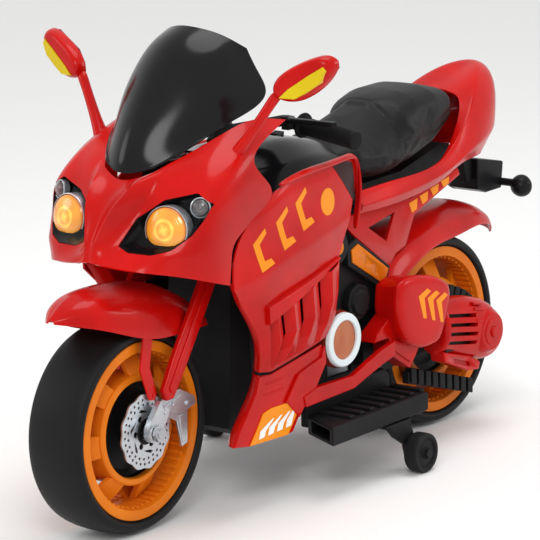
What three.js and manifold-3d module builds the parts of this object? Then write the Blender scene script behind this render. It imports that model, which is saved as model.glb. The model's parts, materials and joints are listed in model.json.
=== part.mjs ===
// Child's battery ride-on motorcycle, in millimetres.
// +X is the rider's left, +Y is towards the tail, +Z is up; the floor is Z = 0.
import * as THREE from 'three';
import { ConvexGeometry } from 'three/addons/geometries/ConvexGeometry.js';
import { mergeVertices } from 'three/addons/utils/BufferGeometryUtils.js';
import Module from 'manifold-3d';

const wasm = await Module();
wasm.setup();
const { Manifold, Mesh: SolidMesh } = wasm;

// Driving dimensions
const WHEEL_SIDES = 28;
const SPOKES = 7;
const TYRE_R = 160;
const AXLE_Z = TYRE_R * Math.cos(Math.PI / WHEEL_SIDES);
const FRONT_Y = -430;
const REAR_Y = 320;
const HALF_LENGTH = AXLE_Z - FRONT_Y;
const FRONT_HALF = 50;
const REAR_HALF = 70;
const RAKE = THREE.MathUtils.degToRad(35);
const GAP = 0.3;
const SKIN = 4;
const AXLE_R = 8;
const LEG_IN = 60;
const LEG_OUT = 74;
const ARM_IN = 74;
const ARM_OUT = 80;
const FRAME_HALF = 60;
const STABILISER_R = 32;
const STABILISER_SIDES = 20;

const group = new THREE.Group();
group.name = 'ride_on_motorcycle';

// ---------------------------------------------------------------- helpers

function solid(geometry) {
  geometry.deleteAttribute('normal');
  geometry.deleteAttribute('uv');
  const merged = mergeVertices(geometry, 1e-3);
  return new Manifold(new SolidMesh({
    numProp: 3,
    vertProperties: Float32Array.from(merged.attributes.position.array),
    triVerts: Uint32Array.from(merged.index.array),
  }));
}

function add(name, body, color, roughness, metalness) {
  const data = body.getMesh();
  const geometry = new THREE.BufferGeometry();
  geometry.setAttribute('position', new THREE.BufferAttribute(data.vertProperties, 3));
  geometry.setIndex(new THREE.BufferAttribute(data.triVerts, 1));
  geometry.computeVertexNormals();
  const material = new THREE.MeshStandardMaterial({ color, roughness, metalness });
  const mesh = new THREE.Mesh(geometry, material);
  mesh.name = name;
  group.add(mesh);
}

// A left-hand piece and its mirror image on the right.
function addPair(name, body, color, roughness, metalness) {
  add(`${name}_left`, body, color, roughness, metalness);
  add(`${name}_right`, mirrored(body), color, roughness, metalness);
}

function mirrored(body) {
  const data = body.getMesh();
  const positions = Float32Array.from(data.vertProperties);
  const index = Uint32Array.from(data.triVerts);
  for (let i = 0; i < positions.length; i += 3) {
    positions[i] = -positions[i];
  }
  for (let i = 0; i < index.length; i += 3) {
    [index[i + 1], index[i + 2]] = [index[i + 2], index[i + 1]];
  }
  return new Manifold(new SolidMesh({ numProp: 3, vertProperties: positions, triVerts: index }));
}

function largest(body) {
  const parts = body.decompose();
  parts.sort((a, b) => b.volume() - a.volume());
  return parts[0];
}

// Outline in the Y-Z plane, drawn out from x0 to x1.
function sidePlate(outline, x0, x1, holes = []) {
  const shape = new THREE.Shape(outline.map(([y, z]) => new THREE.Vector2(y, z)));
  for (const hole of holes) {
    shape.holes.push(new THREE.Path(hole.map(([y, z]) => new THREE.Vector2(y, z))));
  }
  const geometry = new THREE.ExtrudeGeometry(shape, { depth: x1 - x0, bevelEnabled: false });
  const basis = new THREE.Matrix4().makeBasis(
    new THREE.Vector3(0, 1, 0),
    new THREE.Vector3(0, 0, 1),
    new THREE.Vector3(1, 0, 0),
  );
  geometry.applyMatrix4(basis);
  geometry.translate(x0, 0, 0);
  return solid(geometry);
}

// Outline in the X-Z plane, drawn out from y0 to y1.
function frontPlate(outline, y0, y1) {
  const shape = new THREE.Shape(outline.map(([x, z]) => new THREE.Vector2(x, z)));
  const geometry = new THREE.ExtrudeGeometry(shape, { depth: y1 - y0, bevelEnabled: false });
  const basis = new THREE.Matrix4().makeBasis(
    new THREE.Vector3(1, 0, 0),
    new THREE.Vector3(0, 0, 1),
    new THREE.Vector3(0, -1, 0),
  );
  geometry.applyMatrix4(basis);
  geometry.translate(0, y1, 0);
  return solid(geometry);
}

// Outline in the X-Y plane, drawn out from z0 to z1.
function planPlate(outline, z0, z1) {
  const shape = new THREE.Shape(outline.map(([x, y]) => new THREE.Vector2(x, y)));
  const geometry = new THREE.ExtrudeGeometry(shape, { depth: z1 - z0, bevelEnabled: false });
  geometry.translate(0, 0, z0);
  return solid(geometry);
}

function block(x0, x1, y0, y1, z0, z1) {
  const geometry = new THREE.BoxGeometry(x1 - x0, y1 - y0, z1 - z0);
  geometry.translate((x0 + x1) / 2, (y0 + y1) / 2, (z0 + z1) / 2);
  return solid(geometry);
}

function hull(points) {
  return solid(new ConvexGeometry(points.map((p) => new THREE.Vector3(...p))));
}

function ball(r, centre, sides) {
  const geometry = new THREE.SphereGeometry(r, sides, Math.round(sides * 0.6));
  geometry.translate(...centre);
  return solid(geometry);
}

function rod(from, to, r0, r1, sides) {
  const a = new THREE.Vector3(...from);
  const b = new THREE.Vector3(...to);
  const length = a.distanceTo(b);
  const geometry = new THREE.CylinderGeometry(r1, r0, length, sides);
  geometry.rotateX(Math.PI / 2);
  const turn = new THREE.Quaternion().setFromUnitVectors(
    new THREE.Vector3(0, 0, 1),
    b.clone().sub(a).normalize(),
  );
  geometry.applyQuaternion(turn);
  const middle = a.add(b).multiplyScalar(0.5);
  geometry.translate(middle.x, middle.y, middle.z);
  return solid(geometry);
}

// Round body about the X direction; the profile is a closed list of [radius, x].
function turned(profile, y, z, sides) {
  const closed = profile[0][0] > 0.001;
  const points = profile.map(([r, x]) => new THREE.Vector2(r, x));
  if (closed) {
    points.push(points[0].clone());
  }
  const geometry = new THREE.LatheGeometry(points, sides, Math.PI / sides);
  geometry.rotateZ(-Math.PI / 2);
  geometry.translate(0, y, z);
  const body = solid(geometry);
  return body;
}

// Closed body skinned through rings with the same number of points.
function skinned(rings) {
  const count = rings[0].length;
  const positions = rings.flat(2);
  const index = [];
  for (let i = 0; i < rings.length - 1; i += 1) {
    for (let j = 0; j < count; j += 1) {
      const k = (j + 1) % count;
      const a = i * count + j;
      const b = i * count + k;
      const c = (i + 1) * count + k;
      const d = (i + 1) * count + j;
      index.push(a, b, c, a, c, d);
    }
  }
  const last = (rings.length - 1) * count;
  for (let j = 1; j < count - 1; j += 1) {
    index.push(0, j + 1, j);
    index.push(last, last + j, last + j + 1);
  }
  return closedBody(positions, index);
}

function closedBody(positions, index) {
  const point = (i) => new THREE.Vector3(...positions.slice(3 * i, 3 * i + 3));
  let volume = 0;
  for (let i = 0; i < index.length; i += 3) {
    volume += point(index[i]).dot(point(index[i + 1]).cross(point(index[i + 2])));
  }
  if (volume < 0) {
    for (let i = 0; i < index.length; i += 3) {
      [index[i + 1], index[i + 2]] = [index[i + 2], index[i + 1]];
    }
  }
  const geometry = new THREE.BufferGeometry();
  geometry.setAttribute('position', new THREE.Float32BufferAttribute(positions, 3));
  geometry.setIndex(index);
  return solid(geometry);
}

// Moulded skin: a grid of outer points given as rows, thickened from depth `from` to `to`.
// Depth is measured inwards, on the side given by `inward` (+1 or -1 of the grid normal).
function skin(rows, from, to, inward = 1) {
  const nr = rows.length;
  const nc = rows[0].length;
  const at = (i, j) => new THREE.Vector3(...rows[i][j]);
  const normals = rows.map((row, i) => row.map((_, j) => {
    const du = at(i, Math.min(j + 1, nc - 1)).sub(at(i, Math.max(j - 1, 0)));
    const dv = at(Math.min(i + 1, nr - 1), j).sub(at(Math.max(i - 1, 0), j));
    return du.cross(dv).normalize().multiplyScalar(inward);
  }));
  const positions = [];
  for (const depth of [from, to]) {
    for (let i = 0; i < nr; i += 1) {
      for (let j = 0; j < nc; j += 1) {
        const p = at(i, j).addScaledVector(normals[i][j], depth);
        positions.push(p.x, p.y, p.z);
      }
    }
  }
  const index = [];
  const inner = nr * nc;
  for (let i = 0; i < nr - 1; i += 1) {
    for (let j = 0; j < nc - 1; j += 1) {
      const a = i * nc + j;
      const b = a + 1;
      const c = a + nc + 1;
      const d = a + nc;
      index.push(a, b, c, a, c, d);
      index.push(inner + a, inner + c, inner + b, inner + a, inner + d, inner + c);
    }
  }
  const rim = [];
  for (let j = 0; j < nc; j += 1) rim.push(j);
  for (let i = 1; i < nr; i += 1) rim.push(i * nc + nc - 1);
  for (let j = nc - 2; j >= 0; j -= 1) rim.push((nr - 1) * nc + j);
  for (let i = nr - 2; i > 0; i -= 1) rim.push(i * nc);
  for (let i = 0; i < rim.length; i += 1) {
    const a = rim[i];
    const b = rim[(i + 1) % rim.length];
    index.push(a, inner + a, inner + b, a, inner + b, b);
  }
  return closedBody(positions, index);
}

// Rows of a left half, centre line first, completed with their mirror image.
function bothSides(rows) {
  return rows.map((row) => {
    const right = row.slice(1).reverse().map(([x, y, z]) => [-x, y, z]);
    return [...right, ...row];
  });
}

// Point on the steering axis, `s` mm up from the front axle.
function steer(s, across = 0, x = 0) {
  return [
    x,
    FRONT_Y + s * Math.sin(RAKE) + across * Math.cos(RAKE),
    AXLE_Z + s * Math.cos(RAKE) - across * Math.sin(RAKE),
  ];
}

function steerYZ(s, across = 0) {
  return steer(s, across).slice(1);
}

// Colours of the moulded plastics and metals
const RED = 0xc81410;
const ORANGE = 0xd86e10;
const BLACK = 0x1a1a1c;
const SILVER = 0xc8cdd2;
const AMBER = 0xf0a028;

// ---------------------------------------------------------------- wheels

// Blown plastic tyre: closed ring gripping the rim between its two flanges.
function tyre(half, y) {
  const seat = half - 8.3;
  return turned([
    [124.3, -seat], [138, -seat], [140, -half + 3], [146, -half], [153, -half + 5],
    [158, -half * 0.6], [160, -half * 0.22], [160, half * 0.22], [158, half * 0.6],
    [153, half - 5], [146, half], [140, half - 3], [138, seat], [124.3, seat],
  ], y, AXLE_Z, WHEEL_SIDES);
}
add('front_tyre', tyre(FRONT_HALF, FRONT_Y), BLACK, 0.75, 0);
add('rear_tyre', tyre(REAR_HALF, REAR_Y), BLACK, 0.75, 0);

// Rim: barrel with outer flanges, seven flat dished spokes, inner ring and hub.
function rim(half, y) {
  const seat = half - 8;
  const barrel = turned([
    [118, -seat - 4], [136, -seat - 4], [136, -seat], [124, -seat],
    [124, seat], [136, seat], [136, seat + 4], [118, seat + 4],
  ], y, AXLE_Z, WHEEL_SIDES);
  const ringHalf = seat - 4;
  const innerRing = turned([
    [74, -ringHalf], [84, -ringHalf], [84, ringHalf], [74, ringHalf],
  ], y, AXLE_Z, WHEEL_SIDES);
  const hub = turned([
    [AXLE_R + 0.4, -seat], [24, -seat], [26, -5], [76, -5],
    [76, 5], [26, 5], [24, seat], [AXLE_R + 0.4, seat],
  ], y, AXLE_Z, WHEEL_SIDES / 2);
  let body = barrel.add(innerRing).add(hub);
  const dish = seat - 34;
  for (let i = 0; i < SPOKES; i += 1) {
    const angle = THREE.MathUtils.degToRad(97 + i * (360 / SPOKES));
    const corners = [];
    for (const [r, halfDepth, halfWidth] of [[80, ringHalf - 4, 17], [121, dish, 21]]) {
      for (const x of [-halfDepth, halfDepth]) {
        for (const w of [-halfWidth, halfWidth]) {
          const across = r * Math.cos(angle) - w * Math.sin(angle);
          const up = r * Math.sin(angle) + w * Math.cos(angle);
          corners.push([x, y + across, AXLE_Z + up]);
        }
      }
    }
    body = body.add(hull(corners));
  }
  return body;
}
add('front_rim', rim(FRONT_HALF, FRONT_Y), ORANGE, 0.45, 0);
add('rear_rim', rim(REAR_HALF, REAR_Y), ORANGE, 0.45, 0);

// Dummy brake disc on the left of the front hub: wavy edge, drilled.
function discOutline() {
  const outline = [];
  for (let i = 0; i < 32; i += 1) {
    const a = (i / 32) * 2 * Math.PI;
    const r = i % 2 === 0 ? 58 : 54;
    outline.push([FRONT_Y + r * Math.cos(a), AXLE_Z + r * Math.sin(a)]);
  }
  return outline;
}
function roundHole(y, z, r, sides) {
  const hole = [];
  for (let i = 0; i < sides; i += 1) {
    const a = (i / sides) * 2 * Math.PI;
    hole.push([y + r * Math.cos(a), z + r * Math.sin(a)]);
  }
  return hole;
}
const discHoles = [roundHole(FRONT_Y, AXLE_Z, 12, 12)];
for (let i = 0; i < 8; i += 1) {
  const a = (i / 8) * 2 * Math.PI + 0.2;
  discHoles.push(roundHole(FRONT_Y + 38 * Math.cos(a), AXLE_Z + 38 * Math.sin(a), 6, 6));
}
add('brake_disc', sidePlate(discOutline(), 50.6, 53.6, discHoles), SILVER, 0.3, 0.9);

// Steel rods the wheels turn on, with hexagonal nuts at their ends.
function axle(y, reach) {
  const bar = rod([-reach, y, AXLE_Z], [reach, y, AXLE_Z], AXLE_R, AXLE_R, 16);
  const leftNut = rod([reach - 8, y, AXLE_Z], [reach - 1, y, AXLE_Z], 13, 13, 6);
  return bar.add(leftNut).add(mirrored(leftNut));
}
add('front_axle', axle(FRONT_Y, 84), SILVER, 0.35, 0.9);
add('rear_axle', axle(REAR_Y, 88.5), SILVER, 0.35, 0.9);

// ---------------------------------------------------------------- front fork

// Flat red leg covers, ending in a point above each silver foot.
const legOutline = [
  steerYZ(60, -16), steerYZ(50, 2), steerYZ(60, 18), steerYZ(310, 17), steerYZ(310, -17),
];
addPair('fork_leg', sidePlate(legOutline, LEG_IN, LEG_OUT), RED, 0.4, 0);

// Silver feet clamp the axle.
function footBody() {
  const boss = roundHole(FRONT_Y, AXLE_Z, 17, 12);
  const top = [steerYZ(48, -15), steerYZ(40, 2), steerYZ(48, 17)];
  const outline = [...boss, ...top].map(([y, z]) => [[LEG_IN, y, z], [LEG_OUT, y, z]]).flat();
  const bore = rod([LEG_IN - 5, FRONT_Y, AXLE_Z], [LEG_OUT + 5, FRONT_Y, AXLE_Z],
    AXLE_R + GAP, AXLE_R + GAP, 16);
  return hull(outline).subtract(bore);
}
addPair('fork_foot', footBody(), SILVER, 0.35, 0.8);

// Crown across the leg tops with the steering stem standing on it.
const crownBlock = sidePlate([
  steerYZ(310.4, -24), steerYZ(310.4, 24), steerYZ(330, 22), steerYZ(330, -22),
], -LEG_OUT, LEG_OUT);
const stem = rod(steer(326), steer(498), 12, 12, 16);
add('fork_crown', crownBlock.add(stem), BLACK, 0.5, 0.3);

// Dummy caliper: silver hook plate between the disc and the left foot.
const caliperOutline = [
  [-404, 196], [-384, 207], [-352, 208], [-318, 190], [-314, 178], [-336, 172],
  [-338, 122], [-352, 118], [-362, 160], [-384, 172], [-404, 178],
];
add('brake_caliper', sidePlate(caliperOutline, 54.2, LEG_IN - GAP), SILVER, 0.35, 0.8);

// Front fender: arched skin over the tyre with a strut down each side.
const frontFenderStations = [
  [-577, 7, 348, 354], [-545, 36, 340, 372], [-500, 54, 326, 382], [-430, 61, 302, 380],
  [-370, 61, 294, 368], [-310, 56, 290, 345], [-262, 44, 286, 312],
];
function archRows(stations) {
  return bothSides(stations.map(([y, half, edge, top]) => {
    const rise = top - edge;
    return [
      [0, y, top],
      [half * 0.55, y, top - rise * 0.12],
      [half * 0.9, y, edge + rise * 0.5],
      [half, y, edge],
    ];
  }));
}
function fenderBody() {
  let body = skin(archRows(frontFenderStations), 0, SKIN, -1);
  const strutOutline = [
    [-430, 312], [-412, 312], [-424, 256], [-409, 212], [-424, 206], [-444, 256],
  ];
  const strut = sidePlate(strutOutline, 55.4, 59.4);
  body = body.add(strut).add(mirrored(strut));
  return body;
}
add('front_fender', largest(fenderBody()), RED, 0.35, 0);

// ---------------------------------------------------------------- handlebar

const GRIP_IN = new THREE.Vector3(98, -80, 567);
const GRIP_OUT = new THREE.Vector3(207, -90, 553);
function onGrip(t) {
  return GRIP_IN.clone().lerp(GRIP_OUT, t).toArray();
}
function handlebarBody() {
  const clamp = rod(steer(468), steer(500), 22, 20, 16);
  const bore = rod(steer(460), steer(498 + GAP), 12 + GAP, 12 + GAP, 16);
  const elbow = onGrip(-0.36);
  const inner = rod([0, -138, 562], elbow, 9, 9, 10);
  const outer = rod(elbow, onGrip(0.92), 9, 9, 10);
  const perch = block(82, 95, -112, -80, 566, 578);
  const half = inner.add(outer).add(ball(9, elbow, 8)).add(perch);
  return clamp.add(half).add(mirrored(half)).subtract(bore);
}
add('handlebar', handlebarBody(), BLACK, 0.5, 0.2);

// Hand grips: blind sleeves with a flange at the inner end.
function gripBody() {
  const sleeve = rod(onGrip(0), onGrip(1), 15, 14, 14);
  const flange = rod(onGrip(0), onGrip(0.04), 20, 20, 14);
  return sleeve.add(flange).subtract(rod(onGrip(-0.1), onGrip(0.923), 9.4, 9.4, 10));
}
addPair('grip', gripBody(), BLACK, 0.8, 0);

// Flat brake levers pivoting on the perches.
const leverOutline = [
  [82, -116], [96, -116], [106, -124], [182, -120], [188, -112], [180, -106],
  [108, -108], [98, -98], [84, -98],
];
addPair('brake_lever', planPlate(leverOutline, 578.3, 588), BLACK, 0.4, 0.3);

// ---------------------------------------------------------------- upper cowl

const cowlRows = bothSides([
  [[0, -486, 422], [42, -480, 418], [84, -460, 411], [122, -424, 402], [143, -374, 386],
    [146, -334, 374]],
  [[0, -476, 450], [36, -452, 442], [88, -447, 438], [128, -422, 434], [150, -382, 430],
    [150, -332, 422]],
  [[0, -461, 480], [42, -425, 478], [90, -413, 478], [132, -398, 482], [154, -368, 480],
    [150, -304, 452]],
  [[0, -446, 503], [46, -409, 508], [90, -396, 511], [132, -382, 517], [156, -352, 508],
    [150, -226, 496]],
  [[0, -425, 520], [48, -394, 533], [88, -368, 548], [120, -338, 560], [146, -305, 556],
    [150, -275, 553]],
  [[0, -400, 531], [46, -382, 544], [78, -337, 568], [102, -279, 592], [113, -224, 603],
    [121, -152, 592]],
]);
const lampOpening = [
  [32, 444], [45, 482], [80, 509], [128, 521], [152, 506], [146, 486], [134, 462], [114, 442],
  [88, 435], [50, 436],
];
function shrunk(outline, by) {
  const cx = outline.reduce((s, p) => s + p[0], 0) / outline.length;
  const cy = outline.reduce((s, p) => s + p[1], 0) / outline.length;
  return outline.map(([x, y]) => {
    const d = Math.hypot(x - cx, y - cy);
    return [cx + (x - cx) * (1 - by / d), cy + (y - cy) * (1 - by / d)];
  });
}
const screenRows = bothSides([
  [[0, -397, 541], [16, -395, 542], [31, -388, 546], [45, -380, 552]],
  [[0, -393, 563], [28, -384, 562], [56, -362, 564], [78, -333, 577]],
  [[0, -374, 602], [38, -359, 600], [73, -322, 598], [100, -273, 602]],
  [[0, -343, 647], [42, -327, 643], [81, -290, 637], [114, -226, 619]],
  [[0, -307, 691], [40, -295, 686], [78, -262, 673], [117, -194, 641]],
  [[0, -269, 723], [36, -261, 717], [68, -240, 703], [101, -194, 673]],
  [[0, -236, 739], [28, -229, 735], [55, -215, 725], [84, -196, 705]],
]);
const screenBody = skin(screenRows, 0, 3, 1);
const screenRoom = skin(screenRows, -1.5, 4.5, 1);
const lampCutter = frontPlate(lampOpening, -480, -330);

// One-piece nose and side skin with slanted lamp openings.
const cowlBody = skin(cowlRows, 0, SKIN, 1)
  .subtract(lampCutter)
  .subtract(mirrored(lampCutter))
  .subtract(screenRoom);
add('upper_cowl', largest(cowlBody), RED, 0.3, 0);

// Smoked bubble screen standing on the upper edge of the cowl.
add('windscreen', screenBody, 0x101012, 0.15, 0);

// Lamp axis points forward and slightly outwards.
const LAMP = [92, -412, 472];
const LAMP_DIR = new THREE.Vector3(0.16, -0.98, 0.12).normalize();
function lampRod(from, to, r0, r1, sides) {
  const at = (d) => new THREE.Vector3(...LAMP).addScaledVector(LAMP_DIR, d).toArray();
  return rod(at(from), at(to), r0, r1, sides);
}
// Black tub filling the opening, bored for the main lens.
const bezelBody = skin(cowlRows, 3, 26, 1)
  .intersect(frontPlate(shrunk(lampOpening, 0.8), -490, -290))
  .subtract(lampRod(-28, 60, 31.4, 31.4, 24));
addPair('headlamp_bezel', largest(bezelBody), BLACK, 0.25, 0);

// Amber lens: shallow drum with a coned face.
const lensBody = lampRod(-18, 6, 31, 31, 24).add(lampRod(5, 13, 31, 12, 24));
addPair('headlamp_lens', lensBody, AMBER, 0.15, 0);

// ---------------------------------------------------------------- mirrors

const mirrorOutline = [
  [184, 650], [182, 668], [196, 690], [252, 717], [272, 714], [281, 698], [262, 668], [226, 644],
  [204, 642],
];
function mirrorSlab(by, y) {
  const lean = 0.3;
  return shrunk(mirrorOutline, by).map(([x, z]) => [x, y + (x - 184) * lean, z]);
}
function mirrorBody() {
  const shellBody = hull([
    ...mirrorSlab(10, -274), ...mirrorSlab(1, -264), ...mirrorSlab(0, -250),
  ]);
  const recess = hull([...mirrorSlab(4, -253), ...mirrorSlab(4, -240)]);
  const stalk = rod([126, -288, 556], [190, -260, 657], 10, 7, 10);
  const pad = hull([
    [112, -306, 562], [120, -262, 578], [150, -262, 560], [140, -304, 552], [136, -284, 588],
    [124, -284, 548],
  ]);
  return shellBody.subtract(recess).add(stalk.subtract(recess)).add(pad)
    .subtract(skin(cowlRows, -0.4, 30, 1));
}
addPair('mirror', largest(mirrorBody()), RED, 0.35, 0);
const glassBody = hull([...mirrorSlab(4.5, -252.7), ...mirrorSlab(4.5, -250.7)]);
addPair('mirror_glass', glassBody, 0xb8c0c4, 0.05, 1);

// ---------------------------------------------------------------- tank cover

const tankRows = bothSides([
  [[0, -232, 546], [48, -232, 541], [88, -228, 522], [108, -222, 492]],
  [[0, -150, 540], [50, -150, 535], [94, -150, 514], [116, -150, 484]],
  [[0, -60, 541], [48, -60, 536], [92, -60, 514], [114, -60, 482]],
  [[0, 36, 522], [40, 38, 517], [74, 40, 500], [96, 40, 474]],
]);
const stemRoom = rod(steer(420), steer(520), 27, 27, 16);
const SWITCH = { x: 0, y: -20, z: 536, half: 9, long: 13 };
const switchRoom = block(SWITCH.x - 9.4, SWITCH.x + 9.4, SWITCH.y - 13.6, SWITCH.y + 13.6, 510, 560);
const tankBody = skin(tankRows, 0, SKIN, 1).subtract(stemRoom).subtract(switchRoom);
add('tank_cover', largest(tankBody), BLACK, 0.2, 0);

// Forward/reverse rocker in the top of the cover.
const rockerOutline = [[-31, 539], [-20, 535.5], [-9, 539], [-11, 527], [-20, 524], [-29, 527]];
add('drive_switch', sidePlate(rockerOutline, -9, 9), 0x101010, 0.5, 0);

// ---------------------------------------------------------------- side fairings

const sideRows = [
  [[150, -222, 494], [144, -158, 509], [137, -75, 514], [124, 11, 509]],
  [[150, -298, 452], [151, -200, 458], [145, -90, 468], [131, 9, 470]],
  [[147, -322, 412], [151, -215, 422], [147, -100, 435], [134, -2, 446]],
  [[146, -324, 364], [154, -225, 384], [151, -120, 402], [140, -20, 417]],
  [[139, -302, 340], [142, -240, 325], [141, -130, 344], [133, -41, 362]],
  [[138, -260, 276], [141, -225, 272], [140, -140, 284], [135, -50, 300]],
  [[136, -256, 222], [137, -225, 218], [136, -152, 228], [134, -89, 238]],
];
// Three slanted cooling slits between the vanes of the lower face.
const SLITS = 3;
function sideFairingBody() {
  let body = skin(sideRows, 0, SKIN, -1);
  for (let i = 0; i < SLITS; i += 1) {
    const y = -200 + 49 * i;
    const z = 268 + 10 * i;
    const tall = 24 + 5 * i;
    const slit = sidePlate([[y, z], [y + 7, z], [y + 2, z + tall], [y - 5, z + tall]], 110, 170);
    body = body.subtract(slit);
  }
  return body.subtract(skin(cowlRows, -0.4, SKIN + 0.4, 1));
}
addPair('side_fairing', largest(sideFairingBody()), RED, 0.35, 0);

// Lower fairing: slatted panel in front, a bar running back over the footboard.
const lowerOutline = [
  [-257, 216], [-225, 212], [-152, 222], [-93, 231], [-88, 200], [-115, 168], [-20, 165],
  [30, 181], [60, 190], [93, 196], [93, 174], [60, 168], [30, 160], [-20, 146], [-145, 144],
  [-172, 110], [-188, 108], [-284, 112], [-324, 119], [-309, 141], [-287, 166], [-265, 193],
];
const archEdge = [
  [-257, 216], [-248, 216], [-256, 193], [-277, 166], [-299, 141], [-313, 119], [-324, 119],
  [-309, 141], [-287, 166], [-265, 193],
];
const lowerBody = sidePlate(lowerOutline, 129, 135).add(sidePlate(archEdge, 104, 130));
addPair('lower_fairing', lowerBody, RED, 0.35, 0);

// ---------------------------------------------------------------- frame

function mainFrameBody() {
  const spine = sidePlate([
    [-236, 118], [-226, 300], [-212, 452], [-200, 470], [-60, 474], [40, 462], [110, 428],
    [260, 430], [380, 456], [400, 452], [400, 400], [240, 362], [152, 362], [148, 300],
    [124, 240], [124, 104], [-215, 104],
  ], -FRAME_HALF + 22, FRAME_HALF - 22);
  const belly = sidePlate([
    [-236, 118], [-226, 300], [-218, 400], [-30, 420], [124, 400], [148, 340], [148, 300],
    [124, 240], [124, 104], [-215, 104],
  ], -FRAME_HALF, FRAME_HALF);
  const beam = sidePlate([[380, 455], [470, 424], [493.7, 424], [493.7, 372], [480, 372],
    [470, 405], [380, 405]], -18, 18);
  const armOutline = [[90, 150], [90, 230], [130, 226], [338, 176], [338, 142], [130, 128]];
  const arm = sidePlate(armOutline, ARM_IN, ARM_OUT);
  const foot = block(50, ARM_OUT, 90, 122, 150, 228);
  const axleBore = rod([-100, REAR_Y, AXLE_Z], [100, REAR_Y, AXLE_Z],
    AXLE_R + GAP, AXLE_R + GAP, 16);
  const headTube = rod(steer(334), steer(424), 24, 24, 16);
  const headBore = rod(steer(320), steer(440), 12 + GAP, 12 + GAP, 16);
  const crownRoom = sidePlate([steerYZ(300, -60), steerYZ(300, 60), steerYZ(333.5, 60),
    steerYZ(333.5, -60)], -90, 90);
  let body = spine.add(belly).add(beam).add(headTube);
  body = body.add(arm).add(mirrored(arm)).add(foot).add(mirrored(foot));
  body = body.subtract(block(-90, 90, -180, -10, 150, 300));
  body = body.subtract(block(-90, 90, 20, 84, 140, 215));
  return body.subtract(axleBore).subtract(headBore).subtract(crownRoom);
}
add('main_frame', largest(mainFrameBody()), BLACK, 0.6, 0);

add('battery', block(-38, 38, -150, -20, 150.3, 262), 0x303236, 0.5, 0);
const motorBody = rod([-50, 52, 172], [50, 52, 172], 30, 30, 20)
  .add(block(20, 56, 24, 80, 140.3, 200));
add('drive_motor', motorBody, 0x70757a, 0.4, 0.7);

// Arch over the rear wheel: y, half width, edge height, crown height
const rearFenderStations = [
  [128, 106, 262, 300], [168, 104, 276, 334], [230, 98, 298, 346], [300, 86, 308, 352],
  [370, 76, 308, 354], [440, 66, 310, 348], [500, 50, 298, 324], [530, 30, 278, 290],
];

// Red side plates with a triangular window, under the seat.
const plateOutline = [
  [20, 402], [105, 403], [215, 400], [346, 426], [352, 414], [222, 372], [188, 306],
  [152, 290], [56, 368],
];
const plateWindow = [[95, 374], [143, 343], [167, 386]];
const fenderRoom = skin(archRows(rearFenderStations), -0.8, SKIN + 0.8, -1);
const plateBody = sidePlate(plateOutline, 86, 92, [plateWindow])
  .subtract(fenderRoom)
  .subtract(mirrored(fenderRoom));
addPair('frame_plate', largest(plateBody), RED, 0.35, 0);

// ---------------------------------------------------------------- power unit

// Dummy engine casing on each side of the spine.
const casingOutline = [
  [-20, 396], [18, 396], [50, 362], [150, 284], [112, 240], [96, 236], [40, 210], [-20, 236],
  [-70, 250], [-70, 330],
];
const pad = sidePlate([[30, 352], [52, 362], [136, 302], [128, 288], [108, 284], [34, 330]], 84, 100);
const roundCover = rod([80, 58, 262], [104, 58, 262], 32, 29, 16);
const dial = rod([80, -2, 362], [106, -2, 362], 30, 26, 16);
const casingBody = sidePlate(casingOutline, FRAME_HALF + GAP, 85.5).add(pad).add(roundCover).add(dial);
addPair('engine_casing', casingBody, BLACK, 0.5, 0);

// Clutch ring: pale outer ring round a coppery centre, on a tapered drum.
const clutchBody = turned([
  [0, 88], [38, 88], [46, 118], [44, 130], [42, 141], [31, 141], [29, 137], [0, 137],
], -40, 227, 24);
add('clutch_ring', clutchBody, 0xdce4e8, 0.35, 0.2);

// Red bulb over the final drive, with its block towards the footboard.
const GEAR = [172, 228];
const bulb = turned([
  [0, 94], [52, 94], [58, 102], [58, 128], [50, 146], [36, 152], [0, 153],
], GEAR[0], GEAR[1], 24);
const bulbRoom = turned([[0, 90], [58.4, 90], [58.4, 128.2], [50.4, 146.4], [0, 156]],
  GEAR[0], GEAR[1], 24);
const gearBlock = sidePlate([
  [108, 236], [66, 212], [56, 199], [96, 199], [97, 172], [152, 138], [186, 176], [160, 220],
], 94, 128);
addPair('gear_cover', bulb.add(gearBlock), RED, 0.35, 0);

// Ribbed red canister behind the gear cover, with a round stepped end cap.
function oval(y, x, z, rx, rz) {
  const ring = [];
  for (let i = 0; i < 16; i += 1) {
    const a = ((i + 0.5) / 16) * 2 * Math.PI;
    ring.push([x + rx * Math.cos(a), y, z + rz * Math.sin(a)]);
  }
  return ring;
}
function canisterBody() {
  let body = skinned([
    oval(222, 118, 188, 33, 42), oval(284, 120, 176, 36, 52), oval(344, 122, 160, 36, 52),
    oval(366, 124, 154, 32, 44), oval(370, 124, 152, 20, 26), oval(384, 125, 150, 16, 22),
  ]);
  for (let i = 0; i < 4; i += 1) {
    body = body.subtract(block(144, 170, 238, 280, 158 + 13 * i, 164 + 13 * i));
  }
  return body.subtract(bulbRoom).subtract(block(60, 89, 180, 400, 60, 240));
}
addPair('canister', largest(canisterBody()), RED, 0.35, 0);

// ---------------------------------------------------------------- footboards

const boardOutline = [[112, -106], [190, -146], [190, 112], [112, 118]];
const RIB_COUNT = 8;
function footboardBody(ribs) {
  let body = planPlate(boardOutline, 86, 118);
  body = body.add(block(96, 113, -104, 116, 96, 147));
  body = body.add(block(FRAME_HALF + GAP, 100, -60, 60, 104, 126));
  for (const i of ribs) {
    const y = -88 + 27 * i;
    body = body.add(block(120, 182, y, y + 5, 117, 122));
  }
  return body.subtract(block(122, 180, -160, -70, 92, 112));
}
const allRibs = [...Array(RIB_COUNT).keys()];
add('footboard_left', footboardBody(allRibs), BLACK, 0.6, 0);
add('footboard_right', mirrored(footboardBody(allRibs.slice(4))), BLACK, 0.6, 0);

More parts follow.
